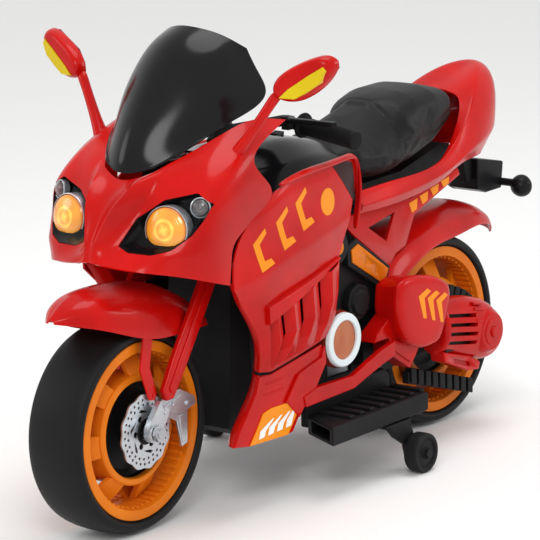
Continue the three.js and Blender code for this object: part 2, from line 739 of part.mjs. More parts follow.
// Foot throttle hinged at its heel on the right footboard.
const pedalOutline = [[-18, 120], [-18, 126], [-92, 142], [-96, 138], [-92, 134]];
add('accelerator_pedal', sidePlate(pedalOutline, -176, -124), BLACK, 0.6, 0);

// Stabiliser wheels on folded arms under the footboards.
const STABILISER_Z = STABILISER_R * Math.cos(Math.PI / STABILISER_SIDES);
const STABILISER_Y = 64;
function bracketBody() {
  const arm = sidePlate([
    [0, 85.6], [60, 85.6], [74, 48], [72, 22], [56, 22], [50, 44], [22, 62],
  ], 178, 190);
  const plate = block(140, 190, -4, 64, 80, 85.7);
  const pin = rod([185, STABILISER_Y, STABILISER_Z], [222, STABILISER_Y, STABILISER_Z], 5, 5, 12);
  const head = rod([219, STABILISER_Y, STABILISER_Z], [224, STABILISER_Y, STABILISER_Z], 9, 9, 12);
  return arm.add(plate).add(pin).add(head);
}
addPair('stabiliser_bracket', bracketBody(), BLACK, 0.6, 0);
const stabiliserBody = turned([
  [5.4, 194], [24, 194], [30, 196], [32, 200], [32, 214], [30, 217], [24, 218.6], [5.4, 218.6],
], STABILISER_Y, STABILISER_Z, STABILISER_SIDES);
addPair('stabiliser_wheel', stabiliserBody, 0x161618, 0.7, 0);

// ---------------------------------------------------------------- seat and tail

// Saddle: front pad, step up to the hump, rear pad. Each row: y, half width, low, high.
const seatStations = [
  [47, 40, 482, 498], [62, 66, 458, 508], [96, 88, 442, 516], [150, 98, 438, 520],
  [200, 98, 440, 532], [228, 94, 443, 554], [262, 90, 447, 565], [320, 84, 460, 568],
  [366, 74, 486, 558], [388, 58, 508, 544],
];
function seatSolid(grow) {
  return skinned(seatStations.map(([y, half, low, high], i) => {
    const w = half + grow;
    const lo = low - grow;
    const hi = high + grow;
    const mid = (lo + hi) / 2;
    const end = i === 0 ? -grow : (i === seatStations.length - 1 ? grow : 0);
    return [
      [w, y + end, mid - 4], [w * 0.97, y + end, mid + (hi - mid) * 0.55],
      [w * 0.72, y + end, hi - 4], [w * 0.35, y + end, hi], [-w * 0.35, y + end, hi],
      [-w * 0.72, y + end, hi - 4], [-w * 0.97, y + end, mid + (hi - mid) * 0.55],
      [-w, y + end, mid - 4], [-w * 0.86, y + end, lo + 2], [-w * 0.4, y + end, lo],
      [w * 0.4, y + end, lo], [w * 0.86, y + end, lo + 2],
    ];
  }));
}
const seatRoom = seatSolid(0.5);
add('seat', seatSolid(0), 0x141416, 0.6, 0);

const tailRows = bothSides([
  [[0, 490, 432], [66, 452, 430], [94, 360, 434], [101, 284, 416], [107, 165, 406],
    [110, 48, 408]],
  [[0, 535, 480], [68, 490, 470], [101, 375, 452], [109, 284, 430], [115, 165, 421],
    [116, 48, 420]],
  [[0, 544, 552], [58, 505, 532], [92, 392, 482], [103, 284, 446], [108, 165, 440],
    [106, 50, 437]],
  [[0, 520, 568], [40, 480, 558], [82, 396, 508], [97, 288, 448], [102, 166, 442],
    [99, 54, 440]],
  [[0, 426, 536], [30, 420, 532], [64, 394, 512], [93, 290, 444], [98, 168, 439],
    [95, 56, 437]],
]);
const tailBody = skin(tailRows, 0, SKIN, -1).subtract(seatRoom);
add('tail_shell', largest(tailBody), RED, 0.35, 0);

// Rear fender flowing forward into the two gear covers.
const rearFenderBody = skin(archRows(rearFenderStations), 0, SKIN, -1)
  .subtract(block(-86, 86, 90, 155, 200, 400))
  .subtract(bulbRoom).subtract(mirrored(bulbRoom));
add('rear_fender', largest(rearFenderBody), RED, 0.35, 0);

// Tail lamp box with an arm to each turn signal.
const BALL = [66, HALF_LENGTH - 19, 353];
const lampBox = sidePlate([[494, 356], [494, 409], [573, 392], [566, 346], [520, 346]], -30, 30);
const lampArm = rod([20, 552, 354], [50, 568, 353], 8, 7, 10);
const ballRoom = ball(19.4, BALL, 14);
const lampBody = lampBox.add(lampArm).add(mirrored(lampArm))
  .subtract(ballRoom).subtract(mirrored(ballRoom));
add('tail_lamp', largest(lampBody), BLACK, 0.5, 0);
addPair('rear_signal', ball(19, BALL, 14), BLACK, 0.3, 0);

export default group;
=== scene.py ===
import json
from math import cos, pi, radians, sin

import bmesh
import bpy
from mathutils import Matrix, Vector
from mathutils.bvhtree import BVHTree


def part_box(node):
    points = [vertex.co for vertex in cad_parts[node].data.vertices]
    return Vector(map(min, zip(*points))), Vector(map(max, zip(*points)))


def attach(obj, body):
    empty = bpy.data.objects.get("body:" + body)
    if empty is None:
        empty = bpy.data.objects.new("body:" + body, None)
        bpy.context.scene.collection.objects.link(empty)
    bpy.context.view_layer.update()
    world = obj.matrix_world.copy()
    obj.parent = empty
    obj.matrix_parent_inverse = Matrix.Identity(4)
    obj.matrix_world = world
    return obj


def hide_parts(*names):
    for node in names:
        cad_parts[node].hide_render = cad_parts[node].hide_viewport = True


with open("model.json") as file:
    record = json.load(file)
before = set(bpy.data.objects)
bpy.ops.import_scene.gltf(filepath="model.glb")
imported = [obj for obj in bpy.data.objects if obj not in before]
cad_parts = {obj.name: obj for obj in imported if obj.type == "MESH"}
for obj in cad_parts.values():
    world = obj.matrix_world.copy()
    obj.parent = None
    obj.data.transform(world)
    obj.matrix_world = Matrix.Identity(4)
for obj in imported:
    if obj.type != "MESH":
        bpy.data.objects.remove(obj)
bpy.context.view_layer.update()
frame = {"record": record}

MM = 0.001
SIDES = ((1, "left"), (-1, "right"))


# ---------------------------------------------------------------- studio
# A pale seamless floor, one large soft key light from the front left, a fill from the right
# and a strip above, as in a small product studio.

def add_node(tree, kind, settings=None, inputs=None):
    """One shader node with its settings; an input is a value or another node's socket."""
    node = tree.nodes.new(kind)
    for key, value in (settings or {}).items():
        setattr(node, key, value)
    for key, value in (inputs or {}).items():
        if isinstance(value, bpy.types.NodeSocket):
            tree.links.new(value, node.inputs[key])
        else:
            node.inputs[key].default_value = value
    return node


def linear(code):
    """sRGB hex colour as the linear RGBA that shaders read."""
    channels = [int(code[i:i + 2], 16) / 255 for i in (1, 3, 5)]
    return [c / 12.92 if c <= 0.04045 else ((c + 0.055) / 1.055) ** 2.4 for c in channels] + [1.0]


def tinted(tree, shader, factor, low_code, high_code):
    """Base colour that drifts between two tints."""
    tone = add_node(tree, "ShaderNodeMix", {"data_type": "RGBA"},
                    {0: factor, 6: linear(low_code), 7: linear(high_code)})
    tree.links.new(tone.outputs[2], shader.inputs["Base Color"])


def glossed(tree, shader, factor, smoothest, roughest, span=(0.0, 1.0)):
    """Roughness that wanders between two values, as handled and moulded surfaces do."""
    gloss = add_node(tree, "ShaderNodeMapRange",
                     inputs={"Value": factor, "From Min": span[0], "From Max": span[1],
                             "To Min": smoothest, "To Max": roughest})
    tree.links.new(gloss.outputs["Result"], shader.inputs["Roughness"])


def bumped(tree, shader, height, strength, distance):
    """Fine relief, with its depth in metres."""
    bump = add_node(tree, "ShaderNodeBump",
                    inputs={"Height": height, "Strength": strength, "Distance": distance})
    tree.links.new(bump.outputs["Normal"], shader.inputs["Normal"])


def start_material(name):
    material = bpy.data.materials.new(name)
    material.use_nodes = True
    tree = material.node_tree
    shader = tree.nodes["Principled BSDF"]
    coords = add_node(tree, "ShaderNodeTexCoord").outputs["Object"]
    return material, tree, shader, coords


floor_bm = bmesh.new()
bmesh.ops.create_circle(floor_bm, cap_ends=True, segments=64, radius=60.0)
bmesh.ops.translate(floor_bm, verts=floor_bm.verts[:], vec=(0, 0, -0.0004))
floor_mesh = bpy.data.meshes.new("studio_floor")
floor_bm.to_mesh(floor_mesh)
studio_floor = bpy.data.objects.new("studio_floor", floor_mesh)
bpy.context.scene.collection.objects.link(studio_floor)
paper, tree, shader, coords = start_material("seamless_paper_matt")
paper_tooth = add_node(tree, "ShaderNodeTexNoise",
                       inputs={"Vector": coords, "Scale": 260.0, "Detail": 2.0})
tinted(tree, shader, paper_tooth.outputs["Fac"], "#f1f1f0", "#f6f6f5")
shader.inputs["Roughness"].default_value = 0.9
floor_mesh.materials.append(paper)

CAMERA_AZIMUTH = radians(37.3)
CAMERA_ELEVATION = radians(12.9)
CAMERA_ROLL = radians(-1.6)
CAMERA_DISTANCE = 6.112
CAMERA_TARGET = Vector((0.0879, -0.1589, 0.3561))
camera_data = bpy.data.cameras.new("product_camera")
camera_data.lens = 266.67
camera_data.sensor_width = 36.0
camera = bpy.data.objects.new("product_camera", camera_data)
bpy.context.scene.collection.objects.link(camera)
away = Vector((sin(CAMERA_AZIMUTH) * cos(CAMERA_ELEVATION),
               -cos(CAMERA_AZIMUTH) * cos(CAMERA_ELEVATION), sin(CAMERA_ELEVATION)))
turn = away.to_track_quat("Z", "Y").to_matrix() @ Matrix.Rotation(CAMERA_ROLL, 3, "Z")
camera.matrix_world = Matrix.Translation(CAMERA_TARGET + away * CAMERA_DISTANCE) @ turn.to_4x4()
bpy.context.scene.camera = camera
bpy.context.scene.view_settings.view_transform = "Standard"

for light_name, place, size, power in (
        ("key_softbox", (1.9, -2.9, 2.6), 1.5, 46.0),
        ("fill_softbox", (-2.8, -2.2, 1.7), 1.6, 16.0),
        ("top_strip", (0.3, 0.4, 3.1), 1.8, 30.0),
        ("tail_softbox", (2.4, 2.2, 1.5), 1.2, 16.0)):
    light_data = bpy.data.lights.new(light_name, "AREA")
    light_data.shape = "DISK"
    light_data.size = size
    light_data.energy = power
    light = bpy.data.objects.new(light_name, light_data)
    facing = (Vector(place) - Vector((0, 0, 0.35))).to_track_quat("Z", "Y").to_matrix().to_4x4()
    light.matrix_world = Matrix.Translation(place) @ facing
    bpy.context.scene.collection.objects.link(light)
world = bpy.data.worlds.new("studio_air")
world.use_nodes = True
world.node_tree.nodes["Background"].inputs["Color"].default_value = linear("#ffffff")
world.node_tree.nodes["Background"].inputs["Strength"].default_value = 0.8
bpy.context.scene.world = world


# ---------------------------------------------------------------- main frame, battery, motor
# The black frame is one large polypropylene moulding: a box spine, head tube and the two
# swing arms. Moulded with a fine spark texture, so it is dull with a soft sheen.

GLOSS_DRIFT = 0.12  # share by which the roughness of a moulding wanders


def moulded(name, code, deep, roughness, grain_mm, grain_depth):
    """Injection-moulded plastic: base tint drifting slightly, a surface grain and uneven gloss."""
    material, tree, shader, coords = start_material(name)
    cloud = add_node(tree, "ShaderNodeTexNoise",
                     inputs={"Vector": coords, "Scale": 7.0, "Detail": 3.0, "Roughness": 0.6})
    tint = add_node(tree, "ShaderNodeMapRange",
                    inputs={"Value": cloud.outputs["Fac"], "From Min": 0.3, "From Max": 0.7})
    tinted(tree, shader, tint.outputs["Result"], deep, code)
    shader.inputs["Specular IOR Level"].default_value = 0.12
    smear = add_node(tree, "ShaderNodeTexNoise",
                     inputs={"Vector": coords, "Scale": 38.0, "Detail": 4.0, "Roughness": 0.65})
    glossed(tree, shader, smear.outputs["Fac"], roughness * (1 - GLOSS_DRIFT),
            roughness * (1 + GLOSS_DRIFT), (0.25, 0.75))
    grain = add_node(tree, "ShaderNodeTexNoise",
                     inputs={"Vector": coords, "Scale": 1000.0 / grain_mm, "Detail": 2.0})
    bumped(tree, shader, grain.outputs["Fac"], grain_depth, 0.0006)
    return material


def dress(node, *materials):
    """A CAD node that keeps its shape gets its finish in its own material slots."""
    mesh = bpy.data.objects[node].data
    mesh.materials.clear()
    for material in materials:
        mesh.materials.append(material)


polypropylene_black_sparked = moulded("polypropylene_black_sparked", "#1d1d1f", "#141415",
                                      0.52, 1.6, 0.35)
abs_grey_battery_case = moulded("abs_grey_battery_case", "#3a3c40", "#2b2d30", 0.45, 2.0, 0.25)
zinc_motor_can = moulded("zinc_motor_can", "#8d9196", "#74787d", 0.34, 1.2, 0.15)
zinc_motor_can.node_tree.nodes["Principled BSDF"].inputs["Metallic"].default_value = 1.0
dress("main_frame", polypropylene_black_sparked)
dress("battery", abs_grey_battery_case)
dress("drive_motor", zinc_motor_can)


# ---------------------------------------------------------------- tyres
# Hollow blow-moulded tyres, smooth across the crown, with the fine turning lines that the
# mould leaves round them and a narrow raised bead where the rim flange meets the wall.

def mm(x, y, z):
    return Vector((x * MM, y * MM, z * MM))


def middle(node):
    low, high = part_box(node)
    return (Vector(low) + Vector(high)) / 2


def spun(bm, profile, centre, steps, axis=(1, 0, 0), close=True):
    """Turns a profile of (radius, along) in mm round an axis through centre."""
    axis = Vector(axis).normalized()
    out = axis.orthogonal().normalized()
    if abs(axis.x) > 0.99:
        out = Vector((0, 0, 1))
    points = [bm.verts.new(centre + out * r * MM + axis * a * MM) for r, a in profile]
    pairs = list(zip(points, points[1:]))
    if close:
        pairs.append((points[-1], points[0]))
    lines = [bm.edges.new(pair) for pair in pairs]
    bmesh.ops.spin(bm, geom=points + lines, cent=centre, axis=axis, dvec=(0, 0, 0),
                   angle=2 * pi, steps=steps, use_merge=True, use_duplicate=False)


def rounded(bm, width_mm, segments=2, sharper_than=28):
    """Breaks the hard edges of a moulding, as the mould's own radii do."""
    bmesh.ops.recalc_face_normals(bm, faces=bm.faces[:])
    hard = [e for e in bm.edges
            if len(e.link_faces) == 2 and e.calc_face_angle(0) > radians(sharper_than)]
    bmesh.ops.bevel(bm, geom=hard, offset=width_mm * MM, offset_type="OFFSET", segments=segments,
                    profile=0.5, affect="EDGES", material=-1, clamp_overlap=True)


CRISP_ANGLE = radians(38)


def make_piece(name, bm, material, body, stands_for=(), merge=True):
    """Finishes a mesh: doubles merged, normals out, material, and its place in the model."""
    if merge:
        bmesh.ops.remove_doubles(bm, verts=bm.verts[:], dist=0.00002)
        bmesh.ops.recalc_face_normals(bm, faces=bm.faces[:])
    mesh = bpy.data.meshes.new(name)
    bm.to_mesh(mesh)
    bm.free()
    piece = bpy.data.objects.new(name, mesh)
    bpy.context.scene.collection.objects.link(piece)
    mesh.materials.append(material)
    mesh.shade_smooth()
    keep = piece.modifiers.new("Crisp corners", "WEIGHTED_NORMAL")
    keep.keep_sharp = True
    mesh.set_sharp_from_angle(angle=CRISP_ANGLE)
    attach(piece, body)
    if stands_for:
        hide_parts(*stands_for)
    return piece


def tyre_material():
    """Blow-moulded black PVC: turning lines 3 mm apart show across the crown."""
    material, tree, shader, coords = start_material("pvc_tyre_turned_mould")
    split = add_node(tree, "ShaderNodeSeparateXYZ", inputs={"Vector": coords})
    phase = add_node(tree, "ShaderNodeMath", {"operation": "MULTIPLY"},
                     {0: split.outputs["X"], 1: 2 * pi / 0.003})
    wave = add_node(tree, "ShaderNodeMath", {"operation": "SINE"}, {0: phase.outputs[0]})
    dust = add_node(tree, "ShaderNodeTexNoise",
                    inputs={"Vector": coords, "Scale": 24.0, "Detail": 5.0})
    tinted(tree, shader, dust.outputs["Fac"], "#0e0e0f", "#19191a")
    glossed(tree, shader, dust.outputs["Fac"], 0.42, 0.62)
    shader.inputs["Specular IOR Level"].default_value = 0.16
    bumped(tree, shader, wave.outputs[0], 0.12, 0.0004)
    return material


pvc_tyre_turned_mould = tyre_material()
for end, half in (("front", 50.0), ("rear", 70.0)):
    bm = bmesh.new()
    wall = [(124.5, half - 8.5), (137.5, half - 8.5), (138.5, half - 5.5), (139.5, half - 2.5),
            (141.5, half - 0.8), (144.5, half), (148, half - 0.6), (151.2, half - 2.6),
            (153.6, half * 0.88), (155.8, half * 0.74), (157.4, half * 0.56),
            (158.3, half * 0.36), (158.8, half * 0.18)]
    profile = wall + [(158.95, 0)] + [(r, -a) for r, a in reversed(wall)]
    spun(bm, profile, middle(f"{end}_tyre"), 144)
    make_piece(f"{end}_tyre_blown", bm, pvc_tyre_turned_mould, f"{end}_wheel",
               (f"{end}_tyre",))


# ---------------------------------------------------------------- rims
# Orange ABS rims: a deep barrel with moulded teeth inside it, seven flat dished spokes, a
# round inner ring and a black hub liner pushed into the middle.

def poured(bm, other):
    """Adds a finished part to the moulding that it belongs to."""
    spare = bpy.data.meshes.new("moulded_detail")
    other.to_mesh(spare)
    other.free()
    bm.from_mesh(spare)
    bpy.data.meshes.remove(spare)


abs_orange_satin = moulded("abs_orange_satin", "#e07a16", "#c9640c", 0.36, 3.0, 0.12)
# Black polystyrene for the black parts; behind the side vanes it serves as painted shade.
polystyrene_black_and_painted_shade = moulded("polystyrene_black_and_painted_shade", "#121213", "#0b0b0c", 0.4, 2.0, 0.2)
SPOKES = 7
TEETH = 63
for end, half in (("front", 42.0), ("rear", 62.0)):
    hub = middle(f"{end}_rim")
    body = f"{end}_wheel"
    depth = half - 2.0
    bm = bmesh.new()
    spun(bm, [(119, -depth), (121, -half - 3.6), (134, -half - 4), (136, -half - 3), (136, -half),
              (124, -half), (124, half), (136, half), (136, half + 3), (134, half + 4),
              (121, half + 3.6), (119, depth), (118, half - 34), (118, -half + 34)], hub, 126)
    spun(bm, [(73, -half + 7), (75, -half + 4.5), (82, -half + 4.5), (84.5, -half + 7),
              (85.5, 0), (84.5, half - 7), (82, half - 4.5), (75, half - 4.5),
              (73, half - 7), (72.5, 0)], hub, 84)
    for side in (-1, 1):
        tooth = bmesh.new()
        bmesh.ops.create_cube(tooth, size=1.0)
        bmesh.ops.scale(tooth, verts=tooth.verts[:], vec=(26 * MM, 6.4 * MM, 3.4 * MM))
        bmesh.ops.bevel(tooth, geom=tooth.edges[:], offset=0.7 * MM, offset_type="OFFSET",
                        segments=1, profile=0.5, affect="EDGES", material=-1)
        bmesh.ops.translate(tooth, verts=tooth.verts[:],
                            vec=hub + Vector((side * (half - 17) * MM, 0, 117.8 * MM)))
        bmesh.ops.spin(tooth, geom=tooth.verts[:] + tooth.edges[:] + tooth.faces[:], cent=hub,
                       axis=(1, 0, 0), dvec=(0, 0, 0), angle=2 * pi * (TEETH - 1) / TEETH,
                       steps=TEETH - 1, use_merge=False, use_duplicate=True)
        poured(bm, tooth)
        spoke = bmesh.new()
        bmesh.ops.create_cube(spoke, size=1.0)
        for corner in spoke.verts:
            outer = corner.co.z > 0
            face = corner.co.x * side > 0
            reach = 120.5 if outer else 82.0
            wide = 22.0 if outer else 17.5
            level = (half - 33) if outer else (half - 8)
            lift = level if face else level - 12
            corner.co = hub + Vector((side * lift * MM, (wide if corner.co.y > 0 else -wide) * MM,
                                      reach * MM))
        rounded(spoke, 2.4, 3, 20)
        bmesh.ops.rotate(spoke, verts=spoke.verts[:], cent=hub,
                         matrix=Matrix.Rotation(radians(-7.0), 3, "X"))
        bmesh.ops.spin(spoke, geom=spoke.verts[:] + spoke.edges[:] + spoke.faces[:], cent=hub,
                       axis=(1, 0, 0), dvec=(0, 0, 0), angle=2 * pi * (SPOKES - 1) / SPOKES,
                       steps=SPOKES - 1, use_merge=False, use_duplicate=True)
        poured(bm, spoke)
    make_piece(f"{end}_rim_moulding", bm, abs_orange_satin, body,
               (f"{end}_rim",))
    bm = bmesh.new()
    liner = [(9, half - 3), (20, half - 3), (24, half - 6), (26, half - 22), (62, half - 26),
             (71, half - 20), (72, half - 12), (72.6, half - 12), (72.6, 0)]
    spun(bm, liner + [(r, -a) for r, a in reversed(liner)], hub, 72)
    rounded(bm, 1.2, 2)
    make_piece(f"{end}_hub_liner", bm, polystyrene_black_and_painted_shade, body)


# ---------------------------------------------------------------- brake disc
# Dummy disc screwed to the left of the front hub: stamped wavy edge, drilled in two rings
# and slotted, in silver-painted ABS that reads as brushed metal.

def apply_modifiers(piece):
    """Bakes the piece's modifiers into its mesh."""
    solved = piece.evaluated_get(bpy.context.evaluated_depsgraph_get())
    baked = bpy.data.meshes.new_from_object(solved)
    piece.modifiers.clear()
    piece.data = baked


def carve(piece, cutter_bm):
    """Cuts a tool shape out of a piece and breaks nothing else."""
    bmesh.ops.recalc_face_normals(cutter_bm, faces=cutter_bm.faces[:])
    tool_mesh = bpy.data.meshes.new("cutter")
    cutter_bm.to_mesh(tool_mesh)
    cutter_bm.free()
    tool = bpy.data.objects.new("cutter", tool_mesh)
    bpy.context.scene.collection.objects.link(tool)
    cut = piece.modifiers.new("Cut", "BOOLEAN")
    cut.operation = "DIFFERENCE"
    cut.object = tool
    cut.solver = "EXACT"
    apply_modifiers(piece)
    bpy.data.objects.remove(tool)
    bpy.data.meshes.remove(tool_mesh)
    piece.data.set_sharp_from_angle(angle=CRISP_ANGLE)


def soften(piece, width_mm, segments=2, angle=40):
    """A small moulded radius on the piece's hard edges."""
    edge = piece.modifiers.new("Moulded radius", "BEVEL")
    edge.width = width_mm * MM
    edge.segments = segments
    edge.limit_method = "ANGLE"
    edge.angle_limit = radians(angle)
    edge.harden_normals = True


def plate(bm, outline, near, far, flat="YZ"):
    """Blank cut to an outline (mm) in one plane and drawn out between two depths."""
    place = {"YZ": lambda a, b: (near, a, b), "XZ": lambda a, b: (a, near, b),
             "XY": lambda a, b: (a, b, near)}[flat]
    step = {"YZ": (1, 0, 0), "XZ": (0, 1, 0), "XY": (0, 0, 1)}[flat]
    face = bm.faces.new([bm.verts.new(mm(*place(a, b))) for a, b in outline])
    made = bmesh.ops.extrude_face_region(bm, geom=[face])
    moved = [v for v in made["geom"] if isinstance(v, bmesh.types.BMVert)]
    bmesh.ops.translate(bm, verts=moved, vec=Vector(step) * (far - near) * MM)


def boss(bm, centre, radius_mm, near, far, sides=24, tip=None):
    """Round boss along X between two depths."""
    spot = mm((near + far) / 2, 0, 0) + Vector((0, centre.y, centre.z))
    turn = Matrix.Translation(spot) @ Matrix.Rotation(pi / 2, 4, "Y")
    bmesh.ops.create_cone(bm, cap_ends=True, cap_tris=False, segments=sides,
                          radius1=radius_mm * MM, radius2=(tip or radius_mm) * MM,
                          depth=abs(far - near) * MM, matrix=turn)


def silver_paint():
    """Silver lacquer over ABS: fine flake, a bright coat and faint handling marks."""
    material, tree, shader, coords = start_material("abs_silver_lacquered")
    flake = add_node(tree, "ShaderNodeTexNoise", inputs={"Vector": coords, "Scale": 900.0})
    tinted(tree, shader, flake.outputs["Fac"], "#a9aeb4", "#d3d7db")
    rub = add_node(tree, "ShaderNodeTexNoise",
                   inputs={"Vector": coords, "Scale": 60.0, "Detail": 4.0})
    glossed(tree, shader, rub.outputs["Fac"], 0.22, 0.42)
    shader.inputs["Metallic"].default_value = 0.85
    return material


abs_silver_lacquered = silver_paint()
axle_front = middle("front_rim")
DISC_R = 57.0
bm = bmesh.new()
bmesh.ops.create_circle(bm, cap_ends=True, segments=160, radius=DISC_R * MM,
                        matrix=Matrix.Translation(axle_front + mm(50.8, 0, 0))
                        @ Matrix.Rotation(pi / 2, 4, "Y"))
for v in bm.verts:
    arm = v.co - axle_front
    arm.x = 0
    angle = arm.angle(Vector((0, 1, 0))) * (1 if arm.z > 0 else -1)
    v.co += arm.normalized() * (1.4 * sin(12 * angle)) * MM
made = bmesh.ops.extrude_face_region(bm, geom=bm.faces[:])
bmesh.ops.translate(bm, verts=[v for v in made["geom"] if isinstance(v, bmesh.types.BMVert)],
                    vec=mm(2.6, 0, 0))
brake_disc = make_piece("brake_disc_stamping", bm, abs_silver_lacquered, "front_wheel",
                        ("brake_disc",))
bm = bmesh.new()
for ring_radius, count, hole, shift in ((49.5, 30, 2.3, 0.0), (42.0, 24, 2.3, 0.1),
                                        (24.0, 6, 5.0, 0.0)):
    for i in range(count):
        a = 2 * pi * i / count + shift
        boss(bm, axle_front + mm(0, ring_radius * cos(a), ring_radius * sin(a)), hole, 46, 58, 10)
for i in range(6):
    a = 2 * pi * i / 6 + 0.3
    slot = [(29 * cos(a), 29 * sin(a)), (31 * cos(a + 0.16), 31 * sin(a + 0.16)),
            (37 * cos(a + 0.5), 37 * sin(a + 0.5)), (36 * cos(a + 0.66), 36 * sin(a + 0.66)),
            (31 * cos(a + 0.5), 31 * sin(a + 0.5))]
    plate(bm, [(axle_front.y / MM + y, axle_front.z / MM + z) for y, z in slot], 46, 58)
boss(bm, axle_front, 12.0, 46, 58, 32)
carve(brake_disc, bm)
bm = bmesh.new()
spun(bm, [(12.5, 50.2), (19, 50.2), (20, 54.4), (18.5, 55.6), (13.5, 55.6), (12.5, 54.4)],
     axle_front, 48)
for i in range(6):
    a = 2 * pi * (i + 0.5) / 6
    boss(bm, axle_front + mm(0, 16.4 * cos(a), 16.4 * sin(a)), 1.9, 55, 57, 6)
make_piece("brake_disc_carrier", bm, polystyrene_black_and_painted_shade, "front_wheel")

# Both axles are plain zinc plated steel rods with a nut face at each end.
zinc_plated_rod = moulded("zinc_plated_rod", "#b9bcc0", "#9a9da1", 0.3, 0.9, 0.12)
zinc_plated_rod.node_tree.nodes["Principled BSDF"].inputs["Metallic"].default_value = 1.0
dress("front_axle", zinc_plated_rod)
dress("rear_axle", zinc_plated_rod)


# ---------------------------------------------------------------- fork
# Each leg is a flat red cover with a raised centre rib, closing on a silver foot that clamps
# the axle. A black crown joins the leg tops and carries the steering stem.

joint_of = {joint["name"]: joint for joint in frame["record"]["behaviour"]["joints"]}
rake = Vector(joint_of["steering"]["axis"]).normalized()
across_rake = Vector((0, rake.z, -rake.y))


def steer(s, across=0.0):
    """Y and Z in mm of a point s mm up the steering axis from the axle."""
    spot = axle_front + rake * s * MM + across_rake * across * MM
    return spot.y / MM, spot.z / MM


abs_red_gloss = moulded("abs_red_gloss", "#c80d08", "#a80805", 0.24, 4.0, 0.06)
abs_red_gloss.node_tree.nodes["Principled BSDF"].inputs["Coat Weight"].default_value = 0.12
abs_red_gloss.node_tree.nodes["Principled BSDF"].inputs["Coat Roughness"].default_value = 0.06
for side, hand in SIDES:
    bm = bmesh.new()
    leg = [steer(62, -13), steer(52, 2), steer(62, 16), steer(110, 18), steer(309, 17),
           steer(309, -17), steer(110, -17)]
    plate(bm, leg, side * 60.4, side * 71.0)
    rounded(bm, 3.2, 3)
    rib = bmesh.new()
    plate(rib, [steer(70, -4), steer(66, 2), steer(70, 9), steer(300, 8), steer(300, -6)],
          side * 69.0, side * 74.0)
    rounded(rib, 2.2, 3)
    poured(bm, rib)
    make_piece(f"fork_leg_cover_{hand}", bm, abs_red_gloss, "steering",
               (f"fork_leg_{hand}",))
    bm = bmesh.new()
    foot = [steer(47, -13), steer(39, 2), steer(47, 15), steer(30, 17), steer(8, 16),
            steer(-6, 14), steer(-14, 7), steer(-16, -2), steer(-11, -12), steer(0, -17),
            steer(14, -17)]
    plate(bm, foot, side * 61.0, side * 71.5)
    boss(bm, axle_front, 14.5, side * 66.0, side * 73.8, 32, 13)
    boss(bm, Vector((0, *[c * MM for c in steer(36, 6)])), 4.0, side * 66.0, side * 73.4, 6)
    rounded(bm, 1.1, 2)
    make_piece(f"fork_foot_clamp_{hand}", bm, abs_silver_lacquered, "steering",
               (f"fork_foot_{hand}",))
dress("fork_crown", polypropylene_black_sparked)

# Dummy caliper: a silver hooked bracket behind the disc with a stepped body and two bolts.
bm = bmesh.new()
hook = [(-404, 196), (-384, 207), (-352, 208), (-318, 190), (-314, 178), (-336, 172),
        (-338, 122), (-352, 118), (-362, 160), (-384, 172), (-404, 178)]
plate(bm, hook, 55.0, 59.4)
rounded(bm, 1.4, 2)
body_bm = bmesh.new()
plate(body_bm, [(-396, 190), (-352, 200), (-328, 187), (-330, 178), (-352, 170), (-380, 180)],
      54.2, 61.5)
plate(body_bm, [(-358, 168), (-346, 168), (-344, 128), (-352, 124)], 54.4, 61.0)
boss(body_bm, mm(0, -374, 190), 4.2, 58, 64.5, 6)
boss(body_bm, mm(0, -340, 184), 4.2, 58, 64.5, 6)
rounded(body_bm, 1.2, 2)
poured(bm, body_bm)
make_piece("brake_caliper_bracket", bm, abs_silver_lacquered, "steering",
           ("brake_caliper",))


# ---------------------------------------------------------------- front fender
# One thin red shell with a pointed nose and a soft ridge down the middle. Its two struts run
# down in front of the fork legs and screw to the feet.

def skinned(bm, rows, closed=False):
    """Stretches a skin over rows of points (mm): each row an edge chain, bridged to the next."""
    grid = []
    chains = []
    for row in rows:
        verts = [bm.verts.new(mm(*p)) for p in row]
        pairs = list(zip(verts, verts[1:])) + ([(verts[-1], verts[0])] if closed else [])
        chains.append([bm.edges.new(pair) for pair in pairs])
        grid.append(verts)
    for a, b in zip(chains, chains[1:]):
        bmesh.ops.bridge_loops(bm, edges=a + b)
    return grid


def both_sides(rows):
    """Rows given from the middle line to the left edge, completed with their mirror image."""
    return [[(-x, y, z) for x, y, z in reversed(row[1:])] + list(row) for row in rows]


def crease_line(bm, points, weight):
    """Keeps a styling line crisp when the skin is smoothed."""
    layer = bm.edges.layers.float.get("crease_edge") or bm.edges.layers.float.new("crease_edge")
    for a, b in zip(points, points[1:]):
        edge = bm.edges.get((a, b))
        if edge:
            edge[layer] = weight


def face_out(bm, inside):
    """Turns an open skin so that its faces look away from a point inside it."""
    bmesh.ops.recalc_face_normals(bm, faces=bm.faces[:])
    score = sum(f.normal.dot(f.calc_center_median() - inside) * f.calc_area() for f in bm.faces)
    if score < 0:
        bmesh.ops.reverse_faces(bm, faces=bm.faces[:])


FIT_ROUNDS = 4     # passes that bring a smoothed skin back onto its own points
FIT_SHARE = 0.8    # share of the gap closed in each pass


def smoothed(piece, levels):
    """Smooths a skin, first moving its cage out until the skin passes through its own points."""
    piece.modifiers.clear()
    smooth = piece.modifiers.new("Smooth skin", "SUBSURF")
    smooth.levels = smooth.render_levels = levels
    smooth.boundary_smooth = "PRESERVE_CORNERS"
    aims = [v.co.copy() for v in piece.data.vertices]
    for _ in range(FIT_ROUNDS):
        solved = piece.evaluated_get(bpy.context.evaluated_depsgraph_get())
        skin = solved.to_mesh()
        gaps = [aim - skin.vertices[i].co for i, aim in enumerate(aims)]
        solved.to_mesh_clear()
        for v, gap in zip(piece.data.vertices, gaps):
            v.co += gap * FIT_SHARE
        piece.data.update()


